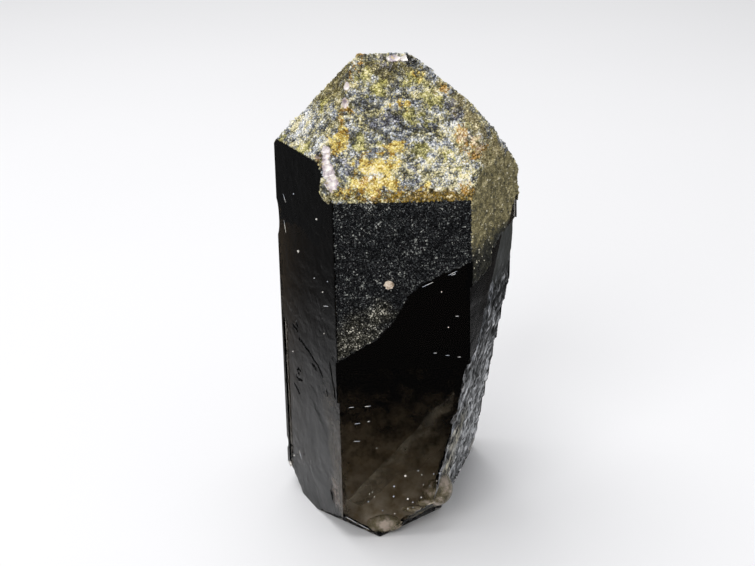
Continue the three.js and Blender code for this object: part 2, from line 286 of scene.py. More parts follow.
STAINS = {
    "tan": Stain("#665c38", "#b2a474", 0.9, [
        (8.7, -4.3, 61.6, 1.2), (9.7, -5.3, 60.3, 1.1), (10.9, -6.5, 59.3, 1.1),
        (10.5, -5.8, 59.7, 0.9), (12.2, -6.1, 58.1, 1.4), (13, -5, 55.9, 2),
        (14.1, -4.3, 54.3, 1.6), (11.9, -7.5, 55.1, 1.6), (7.6, -3.6, 62.5, 0.8),
        (14.2, -6.1, 56, 1.2), (10.5, 1, 58, 3.5), (4, 5.5, 60, 2),
        (10.2, -7.6, 57.4, 1.5),
    ]),
    "olive": Stain("#484022", "#a2965a", 0.9, [
        (-6, -2.9, 63.9, 1.5), (-6.4, -4.2, 62.2, 1.3), (-1, -1.6, 65.2, 2),
        (2.6, -1.8, 65, 1.7), (-7.7, -0.2, 63.5, 2.2), (-9, -0.9, 61.7, 1.6),
        (-6.5, 0.1, 65.1, 1.6), (-7.2, -5.7, 59.9, 1.2), (-7.6, -1.5, 62.8, 1.5),
        (-3, -0.8, 66.2, 1.5), (-8.2, -11.6, 52.1, 1.1), (0.6, -1.1, 65.9, 1.3),
        (6.1, -2.6, 63.8, 1), (13.6, -5.3, 57.1, 1.2), (-5.4, -11.5, 52.3, 1),
        (-9, 3, 61, 2.5), (-2, 9.5, 55, 2.2),
    ]),
    "yellow_green": Stain("#5a5718", "#e3da80", 0.78, [
        (-3.5, -1.8, 64.9, 1), (-1.4, -2.7, 63.8, 1.3), (2.3, -2.2, 64.3, 1.2), (3.7, -2.4, 64.2, 1.1),
        (4.8, -3.5, 62.7, 1.2), (5.5, -4.1, 61.9, 1), (2.2, -4.9, 60.8, 1.1), (3.4, -4.9, 60.9, 0.9),
        (4.3, -5.5, 60, 0.8), (-4.1, -7.3, 57.8, 1.3), (3.6, -8, 56.8, 1.3), (-5.8, -10.3, 53.8, 0.8),
        (-9.2, -1.3, 61.2, 1.1), (-14.8, 0.6, 56.1, 1.2), (-11.8, -4.7, 56.2, 1.4), (13.8, -6, 56.5, 1),
        (6.8, -8.6, 56, 0.8), (-1.7, -7.1, 58.1, 0.9), (8.3, -9.8, 54.5, 0.7), (-3.1, -3.6, 62.5, 0.8),
        (1.5, 3.5, 63, 1.5), (-5.5, 6, 59.5, 1.4), (6, 7.5, 57, 1.2),
    ]),
    "gold": Stain("#a67c14", "#ffec86", 0.92, [
        (1.1, -4.2, 61.8, 0.9), (-0.4, -7.7, 57.2, 1.2), (0.8, -7.7, 57.3, 0.9), (-3.6, -8.9, 55.6, 1.4),
        (-1.8, -9.3, 55.1, 1.7), (-4.4, -10.5, 53.5, 1.4), (-2.7, -10.9, 53.1, 1.5),
        (-0.6, -10.5, 53.6, 1.5), (0, -8.8, 55.8, 1.1), (0.3, -11.3, 52.5, 1.1), (-6.3, -11.4, 52.4, 1.1),
        (-7.3, -7, 58.1, 1.3), (-6.6, -6, 59.4, 1), (-6.2, -5, 60.7, 0.8), (-7.1, -7.8, 57.1, 0.9),
        (-6.4, -7, 58.2, 0.9), (3.2, -2.1, 64.5, 0.8),
        (3.7, -10.9, 53, 0.9), (-1.5, 10.5, 53.5, 1.5), (10.5, 5.5, 55, 1.3),
    ]),
    "edge_band": Stain("#302806", "#9c7c12", 0.97, [
        (-6.3, -11.6, 52, 0.9), (-4.4, -11.8, 51.8, 1.1), (-2.3, -11.8, 51.8, 1),
        (-0.4, -11.8, 51.8, 1.2), (1.3, -11.8, 51.8, 1.5), (3.1, -11.8, 51.8, 1.5), (5, 12.4, 51.5, 1.2),
        (4.8, -11.8, 51.8, 1.6), (6.6, -11.8, 51.8, 1.6), (8.3, -11.7, 51.8, 1.6), (9.5, -11.5, 51.9, 1.5),
    ]),
    "rust": Stain("#54400f", "#cf9f44", 0.9, [
        (-3.5, -10.3, 53.8, 0.8), (-2, -11.4, 52.4, 0.8), (-5.8, -3, 63.3, 0.6), (-6.1, -4.7, 61.1, 0.7),
        (9.1, -11, 52.9, 0.9), (6.8, -3.2, 63, 1), (-9.8, -8.3, 56.5, 0.9), (-9.5, -8.8, 55.7, 0.8),
        (-6, -6.4, 58.9, 0.7), (-6.7, -5.5, 60.1, 0.7), (-7.8, -7.8, 57.1, 0.6),
        (-4.1, -0.5, 66.6, 0.8), (8.5, -6.6, 58.7, 0.9), (8.6, -7.5, 57.5, 0.9), (9.7, -8.3, 56.4, 1),
        (10.7, -8.4, 56.3, 0.9), (8.2, -7, 58.1, 0.7), (11.4, -7.3, 56.8, 1.1),
        (-5.1, -1.5, 65.3, 0.6), (-10.5, 7, 56, 1), (2.5, 6.8, 59, 0.8),
    ]),
    "lilac": Stain("#28272f", "#b4b3c8", 0.55, [
        (2.2, -9.8, 54.4, 0.8), (7.3, -4.5, 61.4, 1), (8.2, -5.1, 60.6, 1.1), (-6.3, -8.9, 55.7, 1.2),
        (-0.7, -1, 65.9, 1), (-5.4, -9.5, 54.9, 0.8), (-0.4, -5.3, 60.3, 1.2), (-2.3, -5.8, 59.6, 1),
        (-8.6, -7.2, 57.9, 0.5), (-9.7, -8, 56.8, 0.7), (-3, 3, 63, 1.5), (5.5, 10, 54.5, 1.5),
    ]),
    "pinkish": Stain("#7a5630", "#ecd2b4", 0.75, [
        (9.9, -7.2, 57.9, 0.9), (9.1, -6.8, 58.4, 0.6), (10.5, -7.7, 57.3, 0.7),
    ]),
}

# Crystals large enough to be seen one by one: the face that they stand on, how many, between
# which distances along it and up it, and between which radii.
Sown = namedtuple("Sown", "face count across up size")
SOWN = [
    Sown("top_right_back", 8, (-8, 10), (-24, -2), (0.5, 0.8)),
    Sown("top_back", 8, (-8, 8), (-20, -2), (0.5, 0.8)),
    Sown("top_left_back", 6, (-9, 6), (-24, -8), (0.5, 0.8)),
    Sown("bevel", 9, (-6, 4), (-2, 4), (0.45, 0.85)),
]
SOWN_TILT = 30
SOWN_CLEAR = 0.75
# How far the points of a crystal are from its middle, and half the height of a larger one's
# sides, as shares of its radius.
TINY_POINT, LARGER_POINT, LARGER_SIDE = 1.15, 1.3, 0.4

# The druse, piece by piece: the faces that it covers, its crystals per square millimetre,
# between which radii they are, and its finish. The seeds of two pieces lie a step apart.
Druse = namedtuple("Druse", "faces density radii finish")
SEED_STEP = 20
DRUSES = {
    "druse_front": Druse(["top_front", "left_front"], 44, (0.09, 0.22), "druse"),
    "druse_right": Druse(["top_right", "bevel"], 44, (0.08, 0.19), "druse"),
    "druse_left": Druse(["top_left"], 48, (0.07, 0.17), "druse"),
    "druse_back": Druse(["top_right_back", "top_back", "top_left_back"], 26, (0.10, 0.25), "druse"),
    "druse_right_wall": Druse(["right_front", "right_back"], 34, (0.07, 0.18), "tan_crust"),
    "druse_front_wall": Druse(["front"], 44, (0.07, 0.17), "front_crust"),
    "druse_back_wall": Druse(["back", "left_back"], 24, (0.08, 0.22), "front_crust"),
}
BODY_FINISHES = [
    "smoky_quartz", "druse", "tan_crust", "front_crust", "contact_side", "pale_shell", "groove_shade",
]
FINISH_OF_FACE = {name: "druse" for name in TOP_FACES}
FINISH_OF_FACE.update({
    "front": "front_crust", "right_front": "tan_crust", "right_back": "tan_crust",
    "back": "front_crust", "left_back": "front_crust", "contact": "contact_side",
})

# The camera as it stood for the photograph: where, how far down and how far over it looks.
CAMERA_AT = Vector((-2.53, -146.89, 106.25))
CAMERA_PITCH = 26.021
CAMERA_ROLL = 1.526
CAMERA_LENS = 55.46


def linear(hex_colour):
    """An sRGB hex colour as linear red, green, blue and alpha."""
    parts = [int(hex_colour[i:i + 2], 16) / 255 for i in (1, 3, 5)]
    return tuple(c / 12.92 if c <= 0.04045 else ((c + 0.055) / 1.055) ** 2.4 for c in parts) + (1,)


def add(tree, kind, inputs=None, stops=(), **settings):
    """Adds one node with its settings, links or sets its inputs, and sets a ramp's stops.

    A node among the inputs stands for its first output that is in use.
    """
    node = tree.nodes.new(kind)
    for name, value in settings.items():
        setattr(node, name, value)
    for name, value in (inputs or {}).items():
        if isinstance(value, bpy.types.Node):
            value = next(output for output in value.outputs if output.enabled)
        if isinstance(value, bpy.types.NodeSocket):
            tree.links.new(value, node.inputs[name])
        else:
            node.inputs[name].default_value = value
    if stops:
        shades = node.color_ramp.elements
        for shade, (position, tint) in ((shades[0], stops[0]), (shades[1], stops[-1])):
            shade.position = position
            shade.color = linear(tint)
        for position, tint in stops[1:-1]:
            shades.new(position).color = linear(tint)
    return node


@functools.cache
def place_of(face):
    """Where a face lies: X runs along it to the right, Y up it and Z out of it."""
    bearing, lean = math.radians(face.bearing), math.radians(face.lean)
    along = Vector((-math.sin(bearing), math.cos(bearing), 0))
    level = Vector((math.cos(bearing), math.sin(bearing), 0))
    out = level * math.cos(lean) + Vector((0, 0, math.sin(lean)))
    place = Matrix((along, out.cross(along), out)).transposed().to_4x4()
    place.translation = (AXIS + level * face.reach + Vector((0, 0, face.height))) * MM
    return place


@functools.cache
def outwards(face):
    return place_of(face).col[2].to_3d()


class MorionShape(bpy.types.PropertyGroup):
    """Sizes of the crystal's surface"""

    edge_wear: FloatProperty(
        name="Edge wear", description="Width of the worn edge between two faces",
        default=0.12 * MM, unit="LENGTH", precision=6)
    grid: FloatProperty(
        name="Grid", description="Spacing of the surface's points before they are halved",
        default=0.9 * MM, unit="LENGTH", precision=6)
    contact_depth: FloatProperty(
        name="Contact depth", description="Depth of the deepest pits in the rough right side",
        default=0.85 * MM, unit="LENGTH", precision=6)
    crust_relief: FloatProperty(
        name="Crust relief", description="Height of the lumps under the druse",
        default=0.35 * MM, unit="LENGTH", precision=6)
    break_relief: FloatProperty(
        name="Break relief", description="Height of the ripples on the broken foot",
        default=0.45 * MM, unit="LENGTH", precision=6)


class MorionDruse(bpy.types.PropertyGroup):
    """The tiny crystals on the top and the upper walls"""

    crowding: FloatProperty(
        name="Crowding", description="Share of the usual number of tiny crystals",
        default=1.0, min=0.1, max=1.4, subtype="FACTOR")
    tilt: FloatProperty(
        name="Tilt", description="How far a tiny crystal may lean from its face",
        default=math.radians(55), unit="ROTATION")
    seed: IntProperty(name="Seed", description="Changes where the tiny crystals stand", default=3)


class MorionColours(bpy.types.PropertyGroup):
    """Colours of the crystal"""

    smoke: FloatVectorProperty(
        name="Smoke", description="Light that the quartz lets through, at its smoke density",
        subtype="COLOR", default=(0.38, 0.325, 0.23))
    smoke_density: FloatProperty(
        name="Smoke density", description="How strongly the quartz takes up light, per metre",
        default=480)
    cloud: FloatVectorProperty(
        name="Cloud", description="Cracked quartz inside the foot", subtype="COLOR",
        default=linear("#f5f0e8")[:3])
    veil: FloatVectorProperty(
        name="Veil", description="Pale healed crack in the foot", subtype="COLOR",
        default=linear("#c4bdae")[:3])


class MorionStage(bpy.types.PropertyGroup):
    """Floor and light"""

    floor: FloatVectorProperty(
        name="Floor", description="Colour of the floor", subtype="COLOR",
        default=linear("#f2f2f4")[:3])
    overhead: FloatProperty(
        name="Overhead light", description="Power of the soft light above", default=2.5,
        unit="POWER")
    front: FloatProperty(
        name="Front light", description="Power of the soft light at the front left", default=1.9,
        unit="POWER")
    sky: FloatProperty(name="Sky", description="Strength of the light from all round", default=0.42)


FINISHES = {}


def material(build):
    """Makes a function that builds a shader give the material named after it, made only once."""
    @functools.wraps(build)
    def made():
        if build.__name__ not in bpy.data.materials:
            new = bpy.data.materials.new(build.__name__)
            new.use_nodes = True
            tree = new.node_tree
            tree.nodes.clear()
            ends = build(tree, add(tree, "ShaderNodeTexCoord").outputs["Object"])
            add(tree, "ShaderNodeOutputMaterial", ends)
        return bpy.data.materials[build.__name__]
    FINISHES[build.__name__] = made
    return made


def wandering(tree, place, spacing, reach):
    """Places moved about, so that soft borders wander. The sizes are in millimetres."""
    cloud = add(tree, "ShaderNodeTexNoise", {
        "Vector": place, "Scale": 1 / (spacing * MM), "Detail": 3.0})
    centred = add(tree, "ShaderNodeVectorMath", {
        0: cloud.outputs["Color"], 1: (0.5, 0.5, 0.5)}, operation="SUBTRACT")
    shift = add(tree, "ShaderNodeVectorMath", {0: centred, "Scale": reach * MM}, operation="SCALE")
    return add(tree, "ShaderNodeVectorMath", {0: place, 1: shift}, operation="ADD")


def spot_mask(tree, place, spots):
    """One soft mask for a list of spots."""
    mask = None
    for *at, reach in spots:
        gap = add(tree, "ShaderNodeVectorMath", {0: place, 1: Vector(at) * MM}, operation="DISTANCE")
        soft = add(tree, "ShaderNodeMapRange", {
            "Value": gap, "From Min": reach * SPOT_RIM * MM,
            "From Max": reach * SPOT_CORE * MM}, interpolation_type="SMOOTHSTEP")
        mask = add(tree, "ShaderNodeMath", {0: mask, 1: soft}, operation="MAXIMUM") if mask else soft
    return mask


def face_gap(tree, place, face):
    """How far a place is outside a face, in metres."""
    out = outwards(face)
    along = add(tree, "ShaderNodeVectorMath", {0: place, 1: out}, operation="DOT_PRODUCT")
    return add(tree, "ShaderNodeMath", {
        0: along, 1: out.dot(place_of(face).translation)}, operation="SUBTRACT")


def grain_level(tree, place, own, clumping):
    """How bright each tiny crystal is: its own tone, and clumps about a millimetre wide."""
    tone = add(tree, "ShaderNodeAttribute", attribute_name="tone").outputs["Fac"]
    level = add(tree, "ShaderNodeMath", {0: tone, 1: own, 2: 0.2 - own / 2 - clumping / 2},
                operation="MULTIPLY_ADD")
    for spacing, share in ((0.9, clumping), (0.22, 0.6)):
        cloud = add(tree, "ShaderNodeTexNoise", {
            "Vector": place, "Scale": 1 / (spacing * MM), "Detail": 2.0})
        level = add(tree, "ShaderNodeMath", {0: cloud, 1: share, 2: level}, operation="MULTIPLY_ADD")
    return level


@material
def smoky_quartz(tree, place):
    """Grown morion quartz: glossy growth faces, black in the mass, brown where it is thin."""
    colours = bpy.context.scene.morion_colours
    # Growth lines run level round the prism, a third of a millimetre to a millimetre apart,
    # over soft waves some millimetres wide.
    levels = add(tree, "ShaderNodeMapping", {"Vector": place, "Scale": (120, 120, 2600)})
    lines = add(tree, "ShaderNodeTexNoise", {
        "Vector": levels, "Scale": 1.0, "Detail": 3.0, "Roughness": 0.6})
    fine = add(tree, "ShaderNodeBump", {
        "Height": lines, "Strength": 0.12, "Distance": 0.05 * MM})
    waves = add(tree, "ShaderNodeTexNoise", {
        "Vector": wandering(tree, place, 3.0, 5.0), "Scale": 260, "Detail": 3.0})
    bump = add(tree, "ShaderNodeBump", {
        "Height": waves, "Strength": 0.8, "Distance": 0.3 * MM, "Normal": fine})
    smears = add(tree, "ShaderNodeTexNoise", {"Vector": place, "Scale": 400, "Detail": 4.0})
    gloss = add(tree, "ShaderNodeMapRange", {
        "Value": smears, "From Min": 0.45, "From Max": 0.75, "To Min": 0.03, "To Max": 0.14})
    shader = add(tree, "ShaderNodeBsdfPrincipled", {
        "Base Color": linear("#f6f2ec"), "Roughness": gloss, "IOR": 1.544,
        "Transmission Weight": 1.0, "Normal": bump})
    volume = add(tree, "ShaderNodeVolumeAbsorption", {
        "Color": (*colours.smoke, 1), "Density": colours.smoke_density})
    return {"Surface": shader, "Volume": volume}


@material
def druse(tree, place):
    """Druse of tiny quartz crystals: milky points over dark gaps, with iron stains between."""
    moved = wandering(tree, place, 1.1, 4.5)
    level = grain_level(tree, place, 0.6, 1.5)
    for spots, lift in ((PALE_SPOTS, 0.28), (DARK_SPOTS, -0.2)):
        level = add(tree, "ShaderNodeMath", {
            0: spot_mask(tree, moved, spots), 1: lift, 2: level}, operation="MULTIPLY_ADD")
    luck = add(tree, "ShaderNodeAttribute", attribute_name="luck").outputs["Fac"]
    # Clear grains are blue grey, and those under a thin film of iron are cream to olive.
    film = add(tree, "ShaderNodeTexNoise", {
        "Vector": place, "Scale": 1 / (1.5 * MM), "Detail": 3.0})
    film = add(tree, "ShaderNodeMath", {0: luck, 1: 0.3, 2: film}, operation="MULTIPLY_ADD")
    film = add(tree, "ShaderNodeMapRange", {"Value": film, "From Min": 0.5, "From Max": 0.78})
    clear = add(tree, "ShaderNodeValToRGB", {0: level}, stops=[
        (0.0, "#26282e"), (0.3, "#5d626c"), (0.55, "#a0a5ae"), (0.8, "#e4e6ea"), (1.0, "#ffffff")])
    cream = add(tree, "ShaderNodeValToRGB", {0: level}, stops=[
        (0.0, "#2f2c1a"), (0.3, "#6f6a45"), (0.55, "#b4ab78"), (0.8, "#ebe0ac"), (1.0, "#fff6d2")])
    colour = add(tree, "ShaderNodeMix", {0: film, 6: clear, 7: cream}, data_type="RGBA")
    for stain in STAINS.values():
        mask = spot_mask(tree, moved, stain.spots)
        # A crystal takes the stain where the mask is higher than its own luck.
        taken = add(tree, "ShaderNodeMath", {0: luck, 1: -0.75, 2: mask},
                    operation="MULTIPLY_ADD")
        share = add(tree, "ShaderNodeMapRange", {
            "Value": taken, "From Min": 0.02, "From Max": 0.3, "To Max": stain.share})
        tint = add(tree, "ShaderNodeValToRGB", {0: level}, stops=[
            (0.1, stain.dark), (0.75, stain.bright), (1.0, "#fff3cd")])
        colour = add(tree, "ShaderNodeMix", {0: share, 6: colour, 7: tint},
                     data_type="RGBA")
    shader = add(tree, "ShaderNodeBsdfPrincipled", {
        "Base Color": colour, "Roughness": 0.25, "IOR": 1.544})
    return {"Surface": shader}


@material
def tan_crust(tree, place):
    """Finer druse on the right wall: filmed with tan iron oxide, duller than the top."""
    level = grain_level(tree, place, 0.35, 1.7)
    height = add(tree, "ShaderNodeSeparateXYZ", {0: wandering(tree, place, 2.0, 3.0)})
    # The film ends along a level line, and the crust below it is dark and thin.
    fade = add(tree, "ShaderNodeMapRange", {
        "Value": height.outputs["Z"], "From Min": 45.6 * MM, "From Max": 42.6 * MM})
    level = add(tree, "ShaderNodeMath", {0: level, 1: 0.5, 2: 0.45}, operation="MULTIPLY_ADD")
    level = add(tree, "ShaderNodeMath", {0: fade, 1: -0.5, 2: level}, operation="MULTIPLY_ADD")
    colour = add(tree, "ShaderNodeValToRGB", {0: level}, stops=[
        (0.05, "#1a1b17"), (0.4, "#444337"), (0.55, "#68634a"), (0.72, "#968c62"),
        (0.95, "#dcd1a6")])
    # About one grain in thirty-five is painted near white as a glint.
    luck = add(tree, "ShaderNodeAttribute", attribute_name="luck").outputs["Fac"]
    glint = add(tree, "ShaderNodeMapRange", {"Value": luck, "From Min": 0.97, "From Max": 0.975})
    colour = add(tree, "ShaderNodeMix", {0: glint, 6: colour, 7: linear("#f6efd6")},
                 data_type="RGBA")
    shader = add(tree, "ShaderNodeBsdfPrincipled", {
        "Base Color": colour, "Roughness": 0.3, "IOR": 1.544})
    return {"Surface": shader}


@material
def front_crust(tree, place):
    """Thin clear druse on black quartz: almost black, with single pale grains that glint."""
    level = grain_level(tree, place, 0.75, 1.2)
    # Near its lower left edge the crust is paler, olive and tan.
    low = spot_mask(tree, wandering(tree, place, 2.5, 4.0), [
        (-6.8, -12.2, 31.0, 4.0), (-5.0, -12.2, 33.0, 3.4), (-2.2, -12.2, 36.0, 2.4)])
    level = add(tree, "ShaderNodeMath", {0: low, 1: 0.12, 2: level}, operation="MULTIPLY_ADD")
    grey = add(tree, "ShaderNodeValToRGB", {0: level}, stops=[
        (0.2, "#0b0c0e"), (0.55, "#1a1c1e"), (0.78, "#35383a"), (0.92, "#5f625f"),
        (1.0, "#a9aaa4")])
    olive = add(tree, "ShaderNodeValToRGB", {0: level}, stops=[
        (0.2, "#13130f"), (0.55, "#2f2f26"), (0.78, "#56544a"), (0.92, "#88857a"),
        (1.0, "#d8d3c4")])
    colour = add(tree, "ShaderNodeMix", {0: low, 6: grey, 7: olive}, data_type="RGBA")
    shader = add(tree, "ShaderNodeBsdfPrincipled", {
        "Base Color": colour, "Roughness": 0.2, "IOR": 1.544})
    return {"Surface": shader}


@material
def contact_side(tree, place):
    """Contact face, grown against a neighbour: satin grey strands with slanting slits, painted near black
    as shade in them.
    """
    moved = wandering(tree, place, 0.8, 0.7)
    height = add(tree, "ShaderNodeSeparateXYZ", {0: moved}).outputs["Z"]
    # Strands a third of a millimetre wide lie over swells of one and of three millimetres.
    level = add(tree, "ShaderNodeMapRange", {
        "Value": height, "From Min": 36 * MM, "From Max": 9 * MM, "To Min": -1.15,
        "To Max": -0.95})
    for width, length, share in ((0.34, 1.7, 1.2), (1.1, 4.0, 1.0), (3.0, 6.0, 0.7)):
        strands = add(tree, "ShaderNodeTexNoise", {
            "Vector": streaks(tree, moved, width, length, 22), "Scale": 1.0,
            "Detail": 3.0, "Roughness": 0.6})
        level = add(tree, "ShaderNodeMath", {0: strands, 1: share, 2: level},
                    operation="MULTIPLY_ADD")
    colour = add(tree, "ShaderNodeValToRGB", {0: level}, stops=[
        (0.2, "#17191a"), (0.35, "#47494a"), (0.48, "#898b8e"), (0.62, "#cfd1d5"), (0.8, "#f6f7f8")])
    warm = spot_mask(tree, moved, [(6.5, -8.9, 7.5, 5.5), (8.0, -7.0, 14.0, 4.5)])
    colour = add(tree, "ShaderNodeMix", {0: warm, 6: colour, 7: linear("#ebe2c8")},
                 data_type="RGBA", blend_type="MULTIPLY")
    # The slits are up to two millimetres long, and stand in some of the cells only. They and the pressed
    # pits are painted near black as shade.
    slits_and_shade = add(tree, "ShaderNodeAttribute", attribute_name="pit").outputs["Fac"]
    slits_and_shade = add(tree, "ShaderNodeMapRange", {"Value": slits_and_shade, "From Min": 0.6, "From Max": 1.1})
    for width, length, reach in ((0.4, 1.5, 0.36), (0.65, 2.8, 0.34)):
        cells = add(tree, "ShaderNodeTexVoronoi", {
            "Vector": streaks(tree, moved, width, length, 24), "Scale": 1.0},
            voronoi_dimensions="2D")
        hole = add(tree, "ShaderNodeMapRange", {
            "Value": cells, "From Min": reach, "From Max": reach * 0.5})
        some = add(tree, "ShaderNodeSeparateColor", {0: cells.outputs["Color"]})
        some = add(tree, "ShaderNodeMath", {0: some, 1: 0.6}, operation="GREATER_THAN")
        hole = add(tree, "ShaderNodeMath", {0: hole, 1: some}, operation="MULTIPLY")
        slits_and_shade = add(tree, "ShaderNodeMath", {0: slits_and_shade, 1: hole}, operation="MAXIMUM")
    # A ragged painted highlight, bluish white, runs along the ridge where the contact meets the grown
    # faces, and is left out where the strands are dark.
    near = [
        add(tree, "ShaderNodeMapRange", {
            "Value": face_gap(tree, moved, FACES[name]), "From Min": -0.7 * MM,
            "From Max": -0.1 * MM, "To Max": 0.75})
        for name in ("front", "right_front")
    ]
    ridge_highlight = add(tree, "ShaderNodeMath", {0: near[0], 1: near[1]}, operation="MAXIMUM")
    worn = add(tree, "ShaderNodeMapRange", {"Value": level, "From Min": 0.25, "From Max": 0.5})
    ridge_highlight = add(tree, "ShaderNodeMath", {0: ridge_highlight, 1: worn}, operation="MULTIPLY")
    # The upper end of the contact is smooth, painted dark grey: the black quartz's own dark with a painted
    # reflection on it.
    smooth = add(tree, "ShaderNodeMapRange", {
        "Value": height, "From Min": 34.5 * MM, "From Max": 38.5 * MM, "To Max": 0.93})
    for share, tint in ((slits_and_shade, "#141516"), (ridge_highlight, "#c9cfdd"), (smooth, "#464845")):
        colour = add(tree, "ShaderNodeMix", {0: share, 6: colour, 7: linear(tint)},
                     data_type="RGBA")
    relief = add(tree, "ShaderNodeMath", {0: slits_and_shade, 1: -1.2, 2: level}, operation="MULTIPLY_ADD")
    bump = add(tree, "ShaderNodeBump", {
        "Height": relief, "Strength": 0.7, "Distance": 0.15 * MM})
    shader = add(tree, "ShaderNodeBsdfPrincipled", {
        "Base Color": colour, "Roughness": 0.38, "IOR": 1.544, "Normal": bump})
    return {"Surface": shader}


@material
def pale_shell(tree, place):
    """Fresh shelly chip in milky quartz: pinkish white and lilac, waxy, with yellow iron specks."""
    cloud = add(tree, "ShaderNodeTexNoise", {"Vector": place, "Scale": 1600, "Detail": 4.0})
    specks = add(tree, "ShaderNodeTexNoise", {"Vector": place, "Scale": 2600, "Detail": 2.0})
    colour = add(tree, "ShaderNodeValToRGB", {0: cloud}, stops=[
        (0.32, "#a0919b"), (0.45, "#dbcfd2"), (0.6, "#faf4f0")])
    iron = add(tree, "ShaderNodeMapRange", {"Value": specks, "From Min": 0.6, "From Max": 0.75})
    colour = add(tree, "ShaderNodeMix", {0: iron, 6: colour, 7: linear("#e6cf96")},
                 data_type="RGBA")
    bump = add(tree, "ShaderNodeBump", {
        "Height": cloud, "Strength": 0.8, "Distance": 0.15 * MM})
    shader = add(tree, "ShaderNodeBsdfPrincipled", {
        "Base Color": colour, "Roughness": 0.3, "IOR": 1.544, "Normal": bump})
    return {"Surface": shader}


@material
def groove_shade(tree, place):
    """Painted shade in a groove: matt and near black, with a little grey mottling."""
    shade_mottle = add(tree, "ShaderNodeTexNoise", {"Vector": place, "Scale": 900, "Detail": 3.0})
    colour = add(tree, "ShaderNodeValToRGB", {0: shade_mottle}, stops=[
        (0.4, "#030303"), (0.65, "#141413")])
    shader = add(tree, "ShaderNodeBsdfPrincipled", {
        "Base Color": colour, "Roughness": 0.9, "Specular IOR Level": 0.1})
    return {"Surface": shader}


def patchy(tree, colour, cover):
    """A matt film that covers a share of each place and lets the rest through."""
    clear = add(tree, "ShaderNodeBsdfTransparent")
    film = add(tree, "ShaderNodeBsdfDiffuse", {"Color": colour})
    return add(tree, "ShaderNodeMixShader", {0: cover, 1: clear, 2: film})


@material
def cloudy_quartz(tree, place):
    """Cracked quartz inside the foot: a brown cloud that thins out upwards."""
    colours = bpy.context.scene.morion_colours
    blotch = add(tree, "ShaderNodeTexNoise", {
        "Vector": place, "Scale": 1 / (2.2 * MM), "Detail": 5.0, "Roughness": 0.6})
    height = add(tree, "ShaderNodeSeparateXYZ", {0: place})
    cover = add(tree, "ShaderNodeMapRange", {
        "Value": height.outputs["Z"], "From Min": 24 * MM, "From Max": 6 * MM,
        "To Min": -0.2, "To Max": 0.6})
    cover = add(tree, "ShaderNodeMath", {0: blotch, 1: cover}, operation="ADD")
    cover = add(tree, "ShaderNodeMapRange", {"Value": cover, "From Min": 0.35, "From Max": 0.8})
    left = add(tree, "ShaderNodeMapRange", {
        "Value": face_gap(tree, place, PRISM_FACES["left_front"]), "From Min": -0.6 * MM,
        "From Max": -4 * MM})
    cover = add(tree, "ShaderNodeMath", {0: cover, 1: left}, operation="MULTIPLY")
    tint = add(tree, "ShaderNodeMapRange", {"Value": blotch, "From Min": 0.35, "From Max": 0.65})
    colour = add(tree, "ShaderNodeMix", {
        0: tint, 6: linear("#b3a58c"), 7: (*colours.cloud, 1)}, data_type="RGBA")
    return {"Surface": patchy(tree, colour, cover)}


@material
def healed_crack(tree, place):
    """Healed crack in the foot: a pale mottled veil, brightest near its soft upper border."""
    colours = bpy.context.scene.morion_colours
    across = add(tree, "ShaderNodeVectorMath", {
        0: wandering(tree, place, 3.0, 6.0), 1: VEIL_ACROSS}, operation="DOT_PRODUCT")
    start = (AXIS + VEIL_START).dot(VEIL_ACROSS)
    fade = add(tree, "ShaderNodeMapRange", {
        "Value": across, "From Min": start * MM,
        "From Max": (start + 4.5) * MM, "To Min": 0.16, "To Max": -0.2})
    height = add(tree, "ShaderNodeSeparateXYZ", {0: place})
    low = add(tree, "ShaderNodeMapRange", {
        "Value": height.outputs["Z"], "From Min": 13 * MM, "From Max": 5 * MM, "To Max": 0.22})
    bright = spot_mask(tree, wandering(tree, place, 1.0, 1.2), VEIL_SPOTS)
    fade = add(tree, "ShaderNodeMath", {0: fade, 1: low}, operation="ADD")
    fade = add(tree, "ShaderNodeMath", {0: bright, 1: 0.3, 2: fade}, operation="MULTIPLY_ADD")
    mottle = add(tree, "ShaderNodeTexNoise", {
        "Vector": place, "Scale": 1 / (1.4 * MM), "Detail": 5.0, "Roughness": 0.6})
    cover = add(tree, "ShaderNodeMath", {0: mottle, 1: fade}, operation="ADD")
    cover = add(tree, "ShaderNodeMapRange", {
        "Value": cover, "From Min": 0.42, "From Max": 0.95, "To Max": 0.6})
    border = add(tree, "ShaderNodeMapRange", {
        "Value": across, "From Min": (start - 0.4) * MM,
        "From Max": (start + 1.2) * MM, "To Min": 0.15})
    cover = add(tree, "ShaderNodeMath", {0: cover, 1: border}, operation="MULTIPLY")
    return {"Surface": patchy(tree, (*colours.veil, 1), cover)}


@material
def pale_patch(tree, place):
    """Crazed quartz behind a chip in the left wall: a small pinkish grey haze."""
    mottle = add(tree, "ShaderNodeTexNoise", {
        "Vector": place, "Scale": 1 / (0.9 * MM), "Detail": 4.0})
    cover = add(tree, "ShaderNodeMapRange", {
        "Value": mottle, "From Min": 0.3, "From Max": 0.7, "To Max": 0.8})
    spots = spot_mask(tree, wandering(tree, place, 1.2, 1.5), PATCH_SPOTS)
    cover = add(tree, "ShaderNodeMath", {0: cover, 1: spots}, operation="MULTIPLY")
    return {"Surface": patchy(tree, linear("#d9c9c2"), cover)}


@material
def milky_quartz(tree, place):
    """Milky spot under the skin of the foot: pinkish beige, greener where it is thin."""
    cloud = add(tree, "ShaderNodeTexNoise", {
        "Vector": place, "Scale": 1 / (1.5 * MM), "Detail": 5.0, "Roughness": 0.6})
    colour = add(tree, "ShaderNodeValToRGB", {0: cloud}, stops=[
        (0.38, "#a8a37f"), (0.5, "#d6ccb0"), (0.62, "#f7ebe2")])
    cover = add(tree, "ShaderNodeMapRange", {"Value": cloud, "From Min": 0.25, "From Max": 0.65})
    return {"Surface": patchy(tree, colour, cover)}


